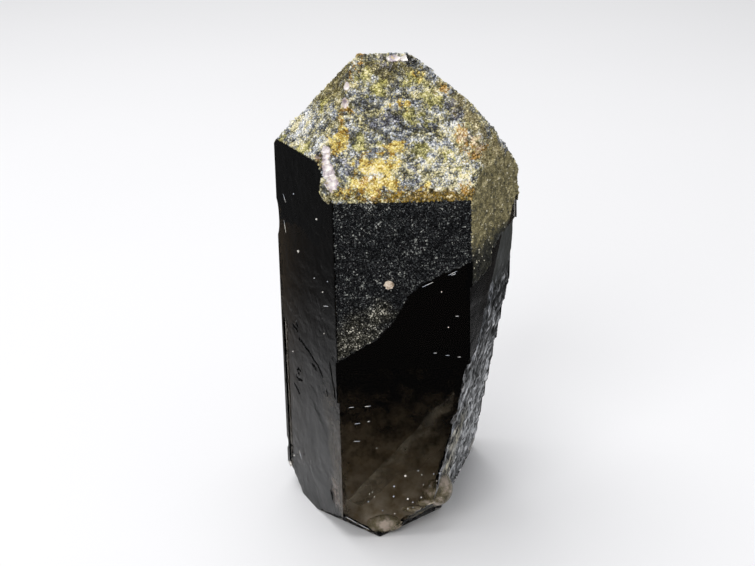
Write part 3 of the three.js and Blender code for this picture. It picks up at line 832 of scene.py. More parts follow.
@material
def painted_glint(tree, place):
    """Tiny grain or nick stuck to a face, painted bluish white to warm white as a glint."""
    cloud = add(tree, "ShaderNodeTexNoise", {"Vector": place, "Scale": 900, "Detail": 1.0})
    colour = add(tree, "ShaderNodeValToRGB", {0: cloud}, stops=[
        (0.4, "#c9cfdb"), (0.6, "#fffaf0")])
    shader = add(tree, "ShaderNodeBsdfPrincipled", {
        "Base Color": colour, "Roughness": 0.12, "IOR": 1.544})
    return {"Surface": shader}


@material
def stuck_grain(tree, place):
    """A grain of weathered feldspar: beige and matt, with a few pinkish specks."""
    specks = add(tree, "ShaderNodeTexNoise", {"Vector": place, "Scale": 2500, "Detail": 3.0})
    colour = add(tree, "ShaderNodeValToRGB", {0: specks}, stops=[
        (0.35, "#a58f78"), (0.5, "#dcc9b4"), (0.65, "#f1e4d4")])
    bump = add(tree, "ShaderNodeBump", {
        "Height": specks, "Strength": 0.7, "Distance": 0.08 * MM})
    shader = add(tree, "ShaderNodeBsdfPrincipled", {
        "Base Color": colour, "Roughness": 0.6, "Normal": bump})
    return {"Surface": shader}


@material
def floor_paint(tree, place):
    """Matt white studio floor, with a breath of unevenness."""
    colours = bpy.context.scene.morion_stage
    cloud = add(tree, "ShaderNodeTexNoise", {"Vector": place, "Scale": 9, "Detail": 2.0})
    shade = add(tree, "ShaderNodeMix", {
        0: cloud, 6: (*colours.floor, 1), 7: linear("#eeeef0")}, data_type="RGBA")
    shader = add(tree, "ShaderNodeBsdfPrincipled", {
        "Base Color": shade, "Roughness": 0.9, "Specular IOR Level": 0.2})
    return {"Surface": shader}


@material
def dark_card(tree, place):
    """Black card that only the gloss sees: clear beside the crystal and darker further out."""
    gap = add(tree, "ShaderNodeVectorMath", {0: place}, operation="LENGTH")
    far = add(tree, "ShaderNodeMapRange", {
        "Value": gap, "From Min": 16 * MM, "From Max": 100 * MM})
    dark = add(tree, "ShaderNodeFloatCurve", {"Value": far})
    curve = dark.mapping.curves[0]
    curve.points[0].location = (0, 0.28)
    curve.points[1].location = (1, 0.94)
    curve.points.new(0.4, 0.66)
    curve.points.new(0.7, 0.87)
    split = add(tree, "ShaderNodeSeparateXYZ", {0: place})
    front = add(tree, "ShaderNodeMapRange", {
        "Value": split.outputs["Y"], "From Min": -9 * MM, "From Max": -14 * MM,
        "To Max": 0.96})
    share = add(tree, "ShaderNodeMath", {0: dark, 1: front}, operation="MAXIMUM")
    clear = add(tree, "ShaderNodeBsdfTransparent")
    black = add(tree, "ShaderNodeBsdfDiffuse", {"Color": (0, 0, 0, 1)})
    return {"Surface": add(tree, "ShaderNodeMixShader", {0: share, 1: clear, 2: black})}


def deselect():
    if bpy.context.mode != "OBJECT":
        bpy.ops.object.mode_set(mode="OBJECT")
    bpy.ops.object.select_all(action="DESELECT")


def make_active(piece):
    deselect()
    piece.select_set(True)
    bpy.context.view_layer.objects.active = piece


@contextlib.contextmanager
def editing(piece):
    """Edit mode on one piece, with all of it selected."""
    make_active(piece)
    bpy.ops.object.mode_set(mode="EDIT")
    bpy.ops.mesh.select_all(action="SELECT")
    yield
    bpy.ops.object.mode_set(mode="OBJECT")


def joined(parts, name):
    """Parts joined in one piece."""
    deselect()
    for part in parts:
        part.select_set(True)
    bpy.context.view_layer.objects.active = parts[0]
    bpy.ops.object.join()
    piece = bpy.context.object
    piece.name = name
    return piece


def apply_modifier(piece, kind, **settings):
    """Adds one modifier to a piece and applies it."""
    make_active(piece)
    modifier = piece.modifiers.new(kind.lower(), kind)
    for name, value in settings.items():
        setattr(modifier, name, value)
    bpy.ops.object.modifier_apply(modifier=modifier.name)


def hand_in(piece):
    """Checks a finished piece and lets it ride with the crystal."""
    triangles = sum(len(polygon.vertices) - 2 for polygon in piece.data.polygons)
    if not 0 < triangles < TRIANGLE_LIMIT:
        raise RuntimeError(f"{piece.name} has {triangles} triangles")
    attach(piece, "root")
    return piece


def grow(piece, name, build):
    """Applies geometry nodes that a function builds from the geometry that comes in."""
    tree = bpy.data.node_groups.new(name, "GeometryNodeTree")
    for way in ("INPUT", "OUTPUT"):
        tree.interface.new_socket("Geometry", in_out=way, socket_type="NodeSocketGeometry")
    add(tree, "NodeGroupOutput", {0: build(tree, add(tree, "NodeGroupInput"))})
    apply_modifier(piece, "NODES", node_group=tree)


def cut_flat(face, raised=0.0, fill=True):
    """In edit mode, cuts off everything outside a face, and closes the cut of a solid."""
    out = outwards(face)
    bpy.ops.mesh.select_all(action="SELECT")
    bpy.ops.mesh.bisect(plane_co=place_of(face).translation + out * raised * MM, plane_no=out,
                        use_fill=fill, clear_outer=True)


def gap_to(name, point):
    """How far a point is outside a named face and its crust, in millimetres."""
    gap = outwards(FACES[name]).dot(point - place_of(FACES[name]).translation) / MM
    return gap - BED.get(name, 0)


def face_under(point):
    """The name of the face that a point on the surface lies on."""
    return min(FACES, key=lambda name: abs(gap_to(name, point)))


def rough_prism():
    """The prism with its top, contact and foot faces, cut from a six-sided block."""
    deselect()
    bpy.ops.mesh.primitive_cylinder_add(vertices=6, radius=BLOCK_RADIUS * MM, depth=BLOCK_HEIGHT * MM,
                                        location=(0, 0, BLOCK_HEIGHT / 2 * MM))
    prism = bpy.context.object
    prism.name = "crystal_body"
    bpy.ops.object.transform_apply()
    for finish in BODY_FINISHES:
        prism.data.materials.append(FINISHES[finish]())
    with editing(prism):
        for name, face in FACES.items():
            cut_flat(face, BED.get(name, 0))
        bpy.ops.mesh.select_all(action="SELECT")
        bpy.ops.mesh.remove_doubles(threshold=MERGED_CORNERS * MM)
        bpy.ops.mesh.normals_make_consistent(inside=False)
    for polygon in prism.data.polygons:
        finish = FINISH_OF_FACE.get(face_under(polygon.center), "smoky_quartz")
        polygon.material_index = BODY_FINISHES.index(finish)
    return prism


def wear_edges(piece, width):
    """Gives every edge between two faces a narrow worn band."""
    with editing(piece):
        bpy.ops.mesh.select_mode(type="EDGE")
        bpy.ops.mesh.select_all(action="SELECT")
        bpy.ops.mesh.bevel(offset=width, segments=2, profile=0.5, clamp_overlap=True)


def ragged(edge, depth=0.16):
    """An edge line broken into small uneven teeth."""
    teeth = random.Random(4)
    line = []
    for (u0, v0), (u1, v1) in zip(edge, edge[1:]):
        count = max(1, round(math.hypot(u1 - u0, v1 - v0) / TOOTH_LENGTH))
        for k in range(count):
            share = k / count
            tooth = teeth.uniform(-depth, depth) if k else 0
            line.append((u0 + (u1 - u0) * share, v0 + (v1 - v0) * share + tooth))
    return line + [edge[-1]]


def both_sides(line, width):
    """The two sides of a narrow band along a line, pointed at both ends."""
    upper, lower = [line[0]], []
    points = [Vector(point) for point in line]
    for before, here, after in zip(points, points[1:], points[2:]):
        run = (after - before).normalized()
        across = Vector((-run.y, run.x)) * width / 2
        upper.append(tuple(here + across))
        lower.append(tuple(here - across))
    return upper + [line[-1]], lower[::-1]


def step_cutter(face, edge, depth, lower_edge=None, finish="smoky_quartz"):
    """A slab on a face under an edge line, or between two of them, as deep as the step."""
    outline = edge + (lower_edge or [(edge[-1][0], CUTTER_FOOT), (edge[0][0], CUTTER_FOOT)])
    deselect()
    bpy.ops.mesh.primitive_circle_add(vertices=len(outline), radius=MM, fill_type="NGON")
    slab = bpy.context.object
    for vertex, (u, v) in zip(slab.data.vertices, outline):
        vertex.co = Vector((u, v, -depth)) * MM
    slab.matrix_world = place_of(face)
    bpy.ops.object.transform_apply()
    with editing(slab):
        bpy.ops.mesh.extrude_region_move(
            TRANSFORM_OT_translate={"value": outwards(face) * CUTTER_THICKNESS * MM})
        bpy.ops.mesh.select_all(action="SELECT")
        bpy.ops.mesh.normals_make_consistent(inside=False)
    slab.data.materials.append(FINISHES[finish]())
    return slab


def add_ball(ball, detail):
    deselect()
    bpy.ops.mesh.primitive_ico_sphere_add(
        subdivisions=detail, radius=ball.radius * MM, location=(AXIS + Vector(ball.at)) * MM,
        scale=ball.stretch)
    bpy.ops.object.transform_apply()
    made = bpy.context.object
    made.data.materials.append(FINISHES[ball.finish]())
    return made


def roughen(piece, spacing, depth):
    """Moves a lump's points in and out, as uneven as broken stone."""
    middle = sum((vertex.co for vertex in piece.data.vertices), Vector()) / len(piece.data.vertices)
    for vertex in piece.data.vertices:
        out = (vertex.co - middle).normalized()
        vertex.co += out * noise.fractal(vertex.co / (spacing * MM), 0.8, 2.0, 3) * depth * MM


def carve(piece, cutter, operation="DIFFERENCE"):
    """Cuts or joins another closed mesh, whose finish stays on the new surface."""
    apply_modifier(piece, "BOOLEAN", object=cutter, operation=operation, solver="EXACT",
                   material_mode="TRANSFER")
    bpy.data.objects.remove(cutter)


def settle_order(piece):
    """Sorts a mesh by place: a boolean's order changes from run to run, and the druse follows it."""
    old = piece.data
    places = [tuple(round(c / MM, 4) for c in vertex.co) for vertex in old.vertices]
    order = sorted(range(len(places)), key=lambda k: places[k])
    rank = {k: number for number, k in enumerate(order)}
    faces = []
    for polygon in old.polygons:
        corners = [rank[k] for k in polygon.vertices]
        first = corners.index(min(corners))
        faces.append((corners[first:] + corners[:first], polygon.material_index))
    faces.sort()
    mesh = bpy.data.meshes.new(piece.name)
    mesh.from_pydata([Vector(places[k]) * MM for k in order], [], [face for face, finish in faces])
    for slot in old.materials:
        mesh.materials.append(slot)
    mesh.polygons.foreach_set("material_index", [finish for face, finish in faces])
    piece.data = mesh


def grid_cuts(piece, spacing):
    """Cuts every face into small squares along X, Y and Z."""
    with editing(piece):
        for axis in range(3):
            normal = Vector([float(k == axis) for k in range(3)])
            rows = int((CAD_HIGH[axis] - CAD_LOW[axis]) / spacing) + 1
            for row in range(rows):
                bpy.ops.mesh.select_all(action="SELECT")
                bpy.ops.mesh.bisect(plane_co=CAD_LOW + normal * (row + 0.5) * spacing,
                                    plane_no=normal)
        bpy.ops.mesh.select_all(action="SELECT")
        bpy.ops.mesh.remove_doubles(threshold=MERGED_GRID * MM)


def select_faces(piece, wanted):
    """Goes into edit mode with the faces selected for which wanted says yes."""
    make_active(piece)
    bpy.ops.object.mode_set(mode="EDIT")
    bpy.ops.mesh.select_mode(type="FACE")
    bpy.ops.mesh.select_all(action="DESELECT")
    bpy.ops.object.mode_set(mode="OBJECT")
    for polygon in piece.data.polygons:
        polygon.select = wanted(polygon)
    bpy.ops.object.mode_set(mode="EDIT")


def has_finish(*finishes):
    indices = {BODY_FINISHES.index(finish) for finish in finishes}
    return lambda polygon: polygon.material_index in indices


def group_finish(piece, name, *finishes):
    """Puts the points of some finishes in a vertex group."""
    piece.vertex_groups.new(name=name)
    select_faces(piece, has_finish(*finishes))
    bpy.ops.object.vertex_group_assign()
    bpy.ops.object.mode_set(mode="OBJECT")


def streaks(tree, place, width, length, lean):
    """Coordinates for streaks on the contact side, as wide and long as given, leaning."""
    across = place_of(CONTACT_FACE).col[0].to_3d()
    up = place_of(CONTACT_FACE).col[1].to_3d()
    turn = math.radians(lean)
    side = (across * math.cos(turn) - up * math.sin(turn)) / (width * MM)
    rise = (across * math.sin(turn) + up * math.cos(turn)) / (length * MM)
    x, y = [
        add(tree, "ShaderNodeVectorMath", {0: place, 1: way}, operation="DOT_PRODUCT")
        for way in (side, rise)
    ]
    return add(tree, "ShaderNodeCombineXYZ", {0: x, 1: y})


def weathered(tree, geometry):
    """Presses the pits into the contact side, and raises the crust's lumps and foot's ripples."""
    shape = bpy.context.scene.morion_shape
    place = add(tree, "GeometryNodeInputPosition")
    contact, crust, broken = [
        add(tree, "GeometryNodeInputNamedAttribute", {"Name": name}, data_type="FLOAT")
        for name in ("contact", "crust", "break")
    ]
    broad = add(tree, "ShaderNodeTexNoise", {
        "Vector": streaks(tree, place, 1.3, 3.6, 22), "Scale": 1.0, "Detail": 2.0})
    pits = add(tree, "ShaderNodeTexVoronoi", {
        "Vector": streaks(tree, place, 0.55, 1.5, 24), "Scale": 1.0, "Randomness": 1.0},
        feature="SMOOTH_F1")
    hole = add(tree, "ShaderNodeMapRange", {"Value": pits, "From Min": 0.55, "From Max": 0.1})
    hollow = add(tree, "ShaderNodeMapRange", {
        "Value": broad, "From Min": 0.3, "From Max": 0.7, "To Max": 0.55})
    deep = add(tree, "ShaderNodeMath", {0: hole, 1: 0.45, 2: hollow}, operation="MULTIPLY_ADD")
    # The contact's upper end is smooth.
    height = add(tree, "ShaderNodeSeparateXYZ", {0: place}).outputs["Z"]
    calm = add(tree, "ShaderNodeMapRange", {
        "Value": height, "From Min": 40 * MM, "From Max": 34 * MM, "To Min": 0.1})
    pit = add(tree, "ShaderNodeMath", {0: deep, 1: contact}, operation="MULTIPLY")
    pit = add(tree, "ShaderNodeMath", {0: pit, 1: calm}, operation="MULTIPLY")
    geometry = add(tree, "GeometryNodeStoreNamedAttribute", {
        "Geometry": geometry, "Name": "pit", "Value": pit}, data_type="FLOAT", domain="POINT")
    pressed = add(tree, "ShaderNodeVectorMath", {
        0: -outwards(CONTACT_FACE) * shape.contact_depth, "Scale": pit}, operation="SCALE")

    lumps = add(tree, "ShaderNodeTexVoronoi", {"Vector": place, "Scale": 1 / (1.2 * MM)},
                feature="F1")
    lump = add(tree, "ShaderNodeMath", {0: lumps, 1: -shape.crust_relief}, operation="MULTIPLY")
    rings = add(tree, "ShaderNodeTexWave", {
        "Vector": place, "Scale": 0.12 / MM, "Distortion": 9.0, "Detail": 2.0,
        "Detail Scale": 0.8}, wave_type="RINGS", rings_direction="SPHERICAL")
    swell = add(tree, "ShaderNodeTexNoise", {"Vector": place, "Scale": 1 / (3.5 * MM)})
    ripple = add(tree, "ShaderNodeMath", {0: rings.outputs["Fac"], 1: 0.3, 2: swell},
                 operation="MULTIPLY_ADD")
    ripple = add(tree, "ShaderNodeMath", {0: ripple, 1: -shape.break_relief}, operation="MULTIPLY")
    lift = add(tree, "ShaderNodeMath", {0: lump, 1: crust}, operation="MULTIPLY")
    lift = add(tree, "ShaderNodeMath", {0: ripple, 1: broken, 2: lift}, operation="MULTIPLY_ADD")
    lifted = add(tree, "ShaderNodeVectorMath", {
        0: add(tree, "GeometryNodeInputNormal"), "Scale": lift}, operation="SCALE")
    offset = add(tree, "ShaderNodeVectorMath", {0: pressed, 1: lifted}, operation="ADD")
    return add(tree, "GeometryNodeSetPosition", {"Geometry": geometry, "Offset": offset})


def group_breaks(piece):
    """Puts the points of the broken foot in a vertex group, the flat cut left out."""
    make_active(piece)
    group = piece.vertex_groups.new(name="break")
    flat = 0.1 * MM
    for vertex in piece.data.vertices:
        for face in FOOT_BREAKS.values():
            gap = outwards(face).dot(vertex.co - place_of(face).translation)
            if abs(gap) < 0.01 * MM and vertex.co.z > flat:
                group.add([vertex.index], 1.0, "REPLACE")


def crystal_body():
    """The crystal without its tiny crystals."""
    shape = bpy.context.scene.morion_shape
    body = rough_prism()
    wear_edges(body, shape.edge_wear)
    for name, edge in CRUST_EDGES.items():
        carve(body, step_cutter(PRISM_FACES[name], ragged(edge), 0))
    carve(body, step_cutter(CONTACT_TOP, ragged(CONTACT_TOP_UPPER), 0, CONTACT_TOP_LOWER,
                            "contact_side"))
    carve(body, step_cutter(PRISM_FACES["left_front"], GROWTH_STEP_EDGE, GROWTH_STEP))
    # The grooves' walls are painted near black as shade.
    for groove in GROOVES:
        upper, lower = both_sides(ragged(groove, GROOVE_TEETH), GROOVE_WIDTH)
        carve(body, step_cutter(PRISM_FACES["left_front"], upper, GROWTH_STEP + GROOVE_DEPTH,
                                lower, "groove_shade"))
    carve(body, step_cutter(PRISM_FACES["back"], BACK_STEP_UPPER, BACK_STEP, BACK_STEP_LOWER[::-1]))
    carve(body, add_ball(CORNER_LUMP, 4), "UNION")
    for chip in CHIPS:
        cutter = add_ball(chip, 4 if chip.radius > 1.4 else 3)
        if chip.finish == "pale_shell":
            roughen(cutter, 0.5, 0.09)
        carve(body, cutter)
    for bulge in FOOT_BULGES:
        carve(body, add_ball(bulge, 4), "UNION")
    settle_order(body)
    grid_cuts(body, shape.grid)
    with editing(body):
        bpy.ops.mesh.bisect(plane_co=(0, 0, 0), plane_no=(0, 0, 1), use_fill=True, clear_inner=True)
    apply_modifier(body, "SUBSURF", subdivision_type="SIMPLE", levels=1, render_levels=1)
    select_faces(body, has_finish("contact_side"))
    bpy.ops.mesh.subdivide(number_cuts=1)
    bpy.ops.object.mode_set(mode="OBJECT")
    group_finish(body, "contact", "contact_side")
    group_finish(body, "crust", "front_crust", "tan_crust", "druse")
    group_breaks(body)
    grow(body, "weathering", weathered)
    make_active(body)
    bpy.ops.object.shade_smooth_by_angle(angle=math.radians(BODY_SMOOTHING))
    return body


def add_point_crystal():
    """One tiny crystal with a point at both ends, a millimetre in radius."""
    deselect()
    bpy.ops.mesh.primitive_cone_add(vertices=6, radius1=MM, depth=TINY_POINT * MM,
                                    end_fill_type="TRIFAN", location=(0, 0, TINY_POINT / 2 * MM))
    bpy.ops.object.transform_apply()
    crystal = bpy.context.object
    crystal.name = "tiny_crystal"
    middle = min(crystal.data.vertices, key=lambda vertex: vertex.co.length)
    middle.co.z = -TINY_POINT * MM
    return crystal


def grown_druse(crystal, cover, seed):
    """A function that builds the nodes that cover a patch with tiny crystals."""
    settings = bpy.context.scene.morion_druse

    def build(tree, geometry):
        points = add(tree, "GeometryNodeDistributePointsOnFaces", {
            "Mesh": geometry, "Density": cover.density * settings.crowding / SQUARE_MM,
            "Seed": seed}, distribute_method="RANDOM")
        tone, luck, share = [
            add(tree, "FunctionNodeRandomValue", {"Seed": seed + k}, data_type="FLOAT")
            for k in range(3)
        ]
        patch = points
        for name, value in (("tone", tone), ("luck", luck)):
            patch = add(tree, "GeometryNodeStoreNamedAttribute", {
                "Geometry": patch, "Name": name, "Value": value}, data_type="FLOAT",
                domain="POINT")
        # Most are small, and a few are up to the largest radius.
        small, large = cover.radii
        size = add(tree, "ShaderNodeMath", {0: share, 1: 2.2}, operation="POWER")
        size = add(tree, "ShaderNodeMath", {0: size, 1: large - small, 2: small},
                   operation="MULTIPLY_ADD")
        reach = Vector((settings.tilt, settings.tilt, math.pi))
        lean = add(tree, "FunctionNodeRandomValue", {0: -reach, 1: reach, "Seed": seed + 7},
                   data_type="FLOAT_VECTOR")
        turned = add(tree, "FunctionNodeRotateRotation", {
            "Rotation": points.outputs["Rotation"], "Rotate By": lean}, rotation_space="LOCAL")
        model = add(tree, "GeometryNodeObjectInfo", {"Object": crystal})
        grown = add(tree, "GeometryNodeInstanceOnPoints", {
            "Points": patch, "Instance": model.outputs["Geometry"], "Rotation": turned,
            "Scale": size})
        whole = add(tree, "GeometryNodeRealizeInstances", {0: grown})
        return add(tree, "GeometryNodeSetMaterial", {0: whole, "Material": FINISHES[cover.finish]()})
    return build


def druse_pieces(body):
    """The druse, grown on copies of the body's crusted faces."""
    crystal = add_point_crystal()
    first_seed = bpy.context.scene.morion_druse.seed
    for number, (name, cover) in enumerate(DRUSES.items()):
        crusted = has_finish(cover.finish)
        select_faces(body, lambda polygon: crusted(polygon)
                     and face_under(polygon.center) in cover.faces)
        bpy.ops.mesh.duplicate()
        bpy.ops.mesh.separate(type="SELECTED")
        bpy.ops.object.mode_set(mode="OBJECT")
        patch = next(piece for piece in bpy.context.selected_objects if piece != body)
        patch.name = name
        patch.data.materials.clear()
        grow(patch, name, grown_druse(crystal, cover, first_seed + SEED_STEP * number))
        hand_in(patch)
    bpy.data.objects.remove(crystal)


def scatter(i, j, seed):
    """A repeatable number from 0 to 1 for two whole numbers."""
    wave = math.sin(i * 127.1 + j * 311.7 + seed * 74.7) * 43758.5453
    return wave - math.floor(wave)


def clearance(point, own):
    """How far a point lies inside the nearest face, its own face left out, in millimetres."""
    gaps = [
        outwards(face).dot(place_of(face).translation - point)
        for name, face in FACES.items() if name != own and name not in FOOT_BREAKS
    ]
    return min(gaps) / MM


def sown_places():
    """Where the larger crystals stand, with their radii."""
    for patch, sown in enumerate(SOWN):
        place = place_of(FACES[sown.face])
        placed, attempt = 0, 0
        while placed < sown.count and attempt < 40 * sown.count:
            u = sown.across[0] + (sown.across[1] - sown.across[0]) * scatter(attempt, patch, 50)
            v = sown.up[0] + (sown.up[1] - sown.up[0]) * scatter(attempt, patch, 51)
            point = place @ (Vector((u, v, 0)) * MM)
            if clearance(point, sown.face) > SOWN_CLEAR:
                tilt = math.radians(SOWN_TILT)
                turn = Euler((tilt * (scatter(attempt, patch, 52) - 0.5) * 2,
                              tilt * (scatter(attempt, patch, 53) - 0.5) * 2,
                              math.pi * scatter(attempt, patch, 54)))
                share = scatter(attempt, patch, 55) ** 2
                radius = sown.size[0] + (sown.size[1] - sown.size[0]) * share
                yield point, place.to_3x3() @ turn.to_matrix(), radius
                placed += 1
            attempt += 1


def join_copies(model, name, places, finish):
    """Copies of a model, each with its own luck, joined in one piece."""
    rolls = random.Random(8)
    copies = []
    for place in places:
        twin = model.copy()
        twin.data = model.data.copy()
        twin.data.materials.append(finish)
        twin.matrix_world = place
        bpy.context.collection.objects.link(twin)
        for trait in ("tone", "luck"):
            values = twin.data.attributes.new(trait, "FLOAT", "POINT").data
            values.foreach_set("value", [rolls.random()] * len(values))
        copies.append(twin)
    bpy.data.objects.remove(model)
    piece = joined(copies, name)
    bpy.ops.object.transform_apply()
    return hand_in(piece)


def larger_crystals():
    """The crystals that are seen one by one, joined in one piece."""
    deselect()
    bpy.ops.mesh.primitive_uv_sphere_add(segments=6, ring_count=3, radius=MM)
    crystal = bpy.context.object
    for vertex in crystal.data.vertices:
        if abs(vertex.co.z) < 0.9 * MM:
            level = Vector((vertex.co.x, vertex.co.y, 0)).normalized() * MM
            vertex.co = level + Vector((0, 0, math.copysign(LARGER_SIDE * MM, vertex.co.z)))
        else:
            vertex.co.z = math.copysign(LARGER_POINT * MM, vertex.co.z)
    places = [
        Matrix.LocRotScale(point, turn.to_quaternion(), (radius,) * 3)
        for point, turn, radius in sown_places()
    ]
    return join_copies(crystal, "larger_crystals", places, druse())


def glints():
    """The single grains and thin nicks on the bare faces, painted white as glints."""
    turns = random.Random(5)
    places = []
    for name, dots in GLINTS.items():
        face = place_of(FACES[name])
        for u, v, radius in dots:
            turn = Euler([turns.uniform(-0.6, 0.6), turns.uniform(-0.6, 0.6), turns.uniform(0, 3)])
            point = face @ (Vector((u, v, GLINT_RISE)) * MM)
            place = face.to_3x3() @ turn.to_matrix()
            size = (GLINT_SWELL * radius,) * 3
            places.append(Matrix.LocRotScale(point, place.to_quaternion(), size))
    for name, nicks in NICKS.items():
        face = place_of(FACES[name])
        for u0, v0, u1, v1 in nicks:
            point = face @ (Vector(((u0 + u1) / 2, (v0 + v1) / 2, NICK_RISE)) * MM)
            turn = Euler((0, 0, math.atan2(v1 - v0, u1 - u0)))
            place = face.to_3x3() @ turn.to_matrix()
            size = (math.hypot(u1 - u0, v1 - v0) / 2, *NICK_SECTION)
            places.append(Matrix.LocRotScale(point, place.to_quaternion(), size))
    return join_copies(add_point_crystal(), "glints", places, painted_glint())


def inner_film(name, finish, surface):
    """A thin curved film inside the foot, kept a little inside the crystal's faces."""
    deselect()
    bpy.ops.mesh.primitive_grid_add(x_subdivisions=FILM_SQUARES, y_subdivisions=FILM_SQUARES,
                                    size=2 * MM)
    film = bpy.context.object
    film.name = name
    for vertex in film.data.vertices:
        vertex.co = (AXIS + surface(vertex.co.x / MM, vertex.co.y / MM)) * MM
    inner = [(face, WALL_GAP) for face in PRISM_FACES.values()]
    inner += [(face, BREAK_GAP) for face in FOOT_BREAKS.values()]
    inner += [(CONTACT_FACE, CONTACT_GAP), (FOOT_CUT, BREAK_GAP)]
    with editing(film):
        for face, gap in inner:
            cut_flat(face, -gap, fill=False)
    film.data.materials.append(finish)
    apply_modifier(film, "SOLIDIFY", thickness=FILM_THICKNESS * MM, offset=0)
    make_active(film)
    bpy.ops.object.shade_smooth()
    return hand_in(film)


def front_wall(height):
    """Where the front face is at a height, along Y from the axis."""
    return height * math.tan(math.radians(TAPER)) - PRISM_FACES["front"].reach


def cloud_surface(across, rise):
    """The cloud dips from the front of the foot into the crystal."""
    x, z = 15 * across, 13 + 12.5 * rise
    wave = 0.7 * noise.noise(Vector((x, z, 0)) / 3.0) + 0.3 * noise.noise(Vector((x, z, 5)) / 1.1)
    return Vector((x, front_wall(z) + CLOUD_DEPTH + CLOUD_DIP * z + wave, z))


def veil_surface(across, rise):
    """The veil starts under a slanting line on the front face and dips down to the right."""
    along, down = 10.5 + 14 * across, 5.5 + 5.5 * rise
    wave = 0.45 * noise.noise(Vector((along, down, 9)) / 3.5)
    dip = math.radians(VEIL_DIP)
    inwards = VEIL_ACROSS * math.cos(dip) + Vector((0, math.sin(dip), 0))
    start = VEIL_START + VEIL_ALONG * along
    start.y = front_wall(start.z) + WALL_GAP + 0.1
    return start + inwards * down + VEIL_ACROSS * wave


def patch_surface(across, rise):
    """The pale patch lies a millimetre under the left wall, beside the front edge."""
    wave = 0.2 * noise.noise(Vector((across, rise, 3)) * 2.0)
    point = PATCH_AT + Vector((2.3 * across, 3.2 * rise, wave))
    return (place_of(PRISM_FACES["left_front"]) @ (point * MM)) / MM - AXIS


def milky_lumps():
    """The milky spots under the skin of the foot, joined in one piece."""
    lumps = []
    for lump in MILKY_LUMPS:
        lumps.append(add_ball(lump, 5))
        roughen(lumps[-1], 0.8, 0.12)
    piece = joined(lumps, "milky_lumps")
    bpy.ops.object.shade_smooth()
    return hand_in(piece)


def grain_on_crust():
    """The beige grain that is stuck in the front crust."""
    grain = add_ball(STUCK_GRAIN, 5)
    grain.name = "stuck_grain"
    roughen(grain, 0.35, 0.16)
    make_active(grain)
    bpy.ops.object.shade_smooth_by_angle(angle=math.radians(GRAIN_SMOOTHING))
    return hand_in(grain)


def camera():
    """The camera, looking along +Y and down."""
    pitch, roll = math.radians(CAMERA_PITCH), math.radians(CAMERA_ROLL)
    forward = Vector((0, math.cos(pitch), -math.sin(pitch)))
    down = Vector((0, -math.sin(pitch), -math.cos(pitch)))
    right = Vector((1, 0, 0))
    axes = (right * math.cos(roll) + down * math.sin(roll),
            right * math.sin(roll) - down * math.cos(roll), -forward)
    data = bpy.data.cameras.new("camera")
    data.lens = CAMERA_LENS
    data.sensor_width = 36
    made = bpy.data.objects.new("camera", data)
    place = Matrix(axes).transposed().to_4x4()
    place.translation = CAMERA_AT * MM
    made.matrix_world = place
    bpy.context.collection.objects.link(made)
    bpy.context.scene.camera = made


def lamp(name, at, size, power):
    """A square soft light that looks at the middle of the crystal."""
    deselect()
    bpy.ops.object.light_add(type="AREA", location=at)
    made = bpy.context.object
    made.name = name
    made.data.size = size
    made.data.energy = power
    made.rotation_euler = (Vector(at) - Vector((0, 0, 0.03))).to_track_quat("Z", "Y").to_euler()


def sheet(name, size, height, finish):
    """A flat square of the stage."""
    deselect()
    bpy.ops.mesh.primitive_plane_add(size=size, location=(0, 0, height))
    made = bpy.context.object
    made.name = name
    bpy.ops.object.transform_apply()
    made.data.materials.append(finish)
    return made


class MORION_OT_stage(bpy.types.Operator):
    """Add the pale floor, the soft light and the camera"""

    bl_idname = "morion.stage"
    bl_label = "Stage"

    def execute(self, context):
        settings = context.scene.morion_stage
        sheet("floor", 4, -0.03 * MM, floor_paint())
        card = sheet("dark_card", 2, 0.02 * MM, dark_card())
        card.visible_camera = False
        card.visible_diffuse = False
        card.visible_transmission = False
        card.visible_shadow = False
        lamp("overhead_light", (-0.1, 0.1, 0.6), 0.5, settings.overhead)
        lamp("front_light", (-0.3, -0.5, 0.5), 0.4, settings.front)
        world = bpy.data.worlds.new("studio")
        context.scene.world = world
        world.use_nodes = True
        sky = world.node_tree.nodes["Background"].inputs
        sky["Color"].default_value = (1, 1, 1, 1)
        sky["Strength"].default_value = settings.sky
        context.scene.view_settings.view_transform = "Standard"
        camera()
        return {"FINISHED"}


class MORION_OT_body(bpy.types.Operator):
    """Add the crystal without its tiny crystals"""

    bl_idname = "morion.body"
    bl_label = "Crystal"

    def execute(self, context):
        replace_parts(hand_in(crystal_body()), "crystal")
        return {"FINISHED"}


class MORION_OT_druse(bpy.types.Operator):
    """Cover the crystal's crusted faces with tiny crystals"""

    bl_idname = "morion.druse"
    bl_label = "Druse"

    def execute(self, context):
        druse_pieces(bpy.data.objects["crystal_body"])
        return {"FINISHED"}


class MORION_OT_larger_crystals(bpy.types.Operator):
    """Add the crystals that are seen one by one"""

    bl_idname = "morion.larger_crystals"
    bl_label = "Larger crystals"

    def execute(self, context):
        larger_crystals()
        return {"FINISHED"}


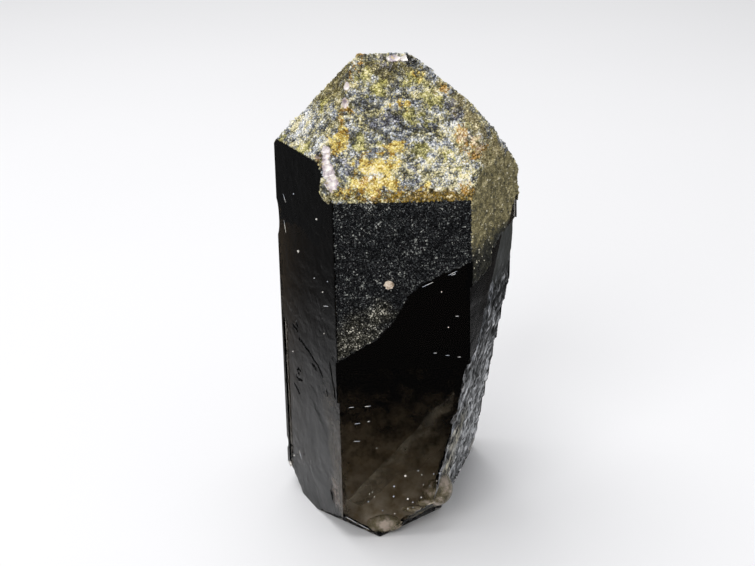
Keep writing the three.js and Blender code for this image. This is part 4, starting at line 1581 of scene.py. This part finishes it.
class MORION_OT_foot(bpy.types.Operator):
    """Add the cloud, the pale veil and patch, and the milky spots inside the foot"""

    bl_idname = "morion.foot"
    bl_label = "Inside of the foot"

    def execute(self, context):
        inner_film("foot_cloud", cloudy_quartz(), cloud_surface)
        inner_film("foot_veil", healed_crack(), veil_surface)
        inner_film("foot_patch", pale_patch(), patch_surface)
        milky_lumps()
        return {"FINISHED"}


class MORION_OT_glints(bpy.types.Operator):
    """Add the single grains and thin nicks on the bare faces, painted white as glints"""

    bl_idname = "morion.glints"
    bl_label = "Glints"

    def execute(self, context):
        glints()
        return {"FINISHED"}


class MORION_OT_stuck_grain(bpy.types.Operator):
    """Add the beige grain that is stuck in the front crust"""

    bl_idname = "morion.stuck_grain"
    bl_label = "Stuck grain"

    def execute(self, context):
        grain_on_crust()
        return {"FINISHED"}


class MORION_PT_panel(bpy.types.Panel):
    """Lists the pieces and their settings"""

    bl_label = "Morion"
    bl_idname = "MORION_PT_panel"
    bl_space_type = "VIEW_3D"
    bl_region_type = "UI"
    bl_category = "Morion"

    def draw(self, context):
        for operator in OPERATORS:
            self.layout.operator(operator.bl_idname)
        for name in SETTINGS:
            group = getattr(context.scene, name)
            for field in group.bl_rna.properties:
                if field.identifier not in ("name", "rna_type"):
                    self.layout.prop(group, field.identifier)


SETTINGS = {
    "morion_shape": MorionShape, "morion_druse": MorionDruse,
    "morion_colours": MorionColours, "morion_stage": MorionStage,
}
OPERATORS = [
    MORION_OT_stage, MORION_OT_body, MORION_OT_druse, MORION_OT_larger_crystals, MORION_OT_foot,
    MORION_OT_glints, MORION_OT_stuck_grain,
]


def register():
    for kind in [*SETTINGS.values(), *OPERATORS, MORION_PT_panel]:
        bpy.utils.register_class(kind)
    for name, kind in SETTINGS.items():
        setattr(bpy.types.Scene, name, PointerProperty(type=kind))


def unregister():
    for name in SETTINGS:
        delattr(bpy.types.Scene, name)
    for kind in [MORION_PT_panel, *OPERATORS[::-1], *SETTINGS.values()]:
        bpy.utils.unregister_class(kind)


def main():
    register()
    bpy.ops.morion.stage()
    bpy.ops.morion.body()
    bpy.ops.morion.druse()
    bpy.ops.morion.larger_crystals()
    bpy.ops.morion.foot()
    bpy.ops.morion.glints()
    bpy.ops.morion.stuck_grain()


if __name__ == "__main__":
    main()
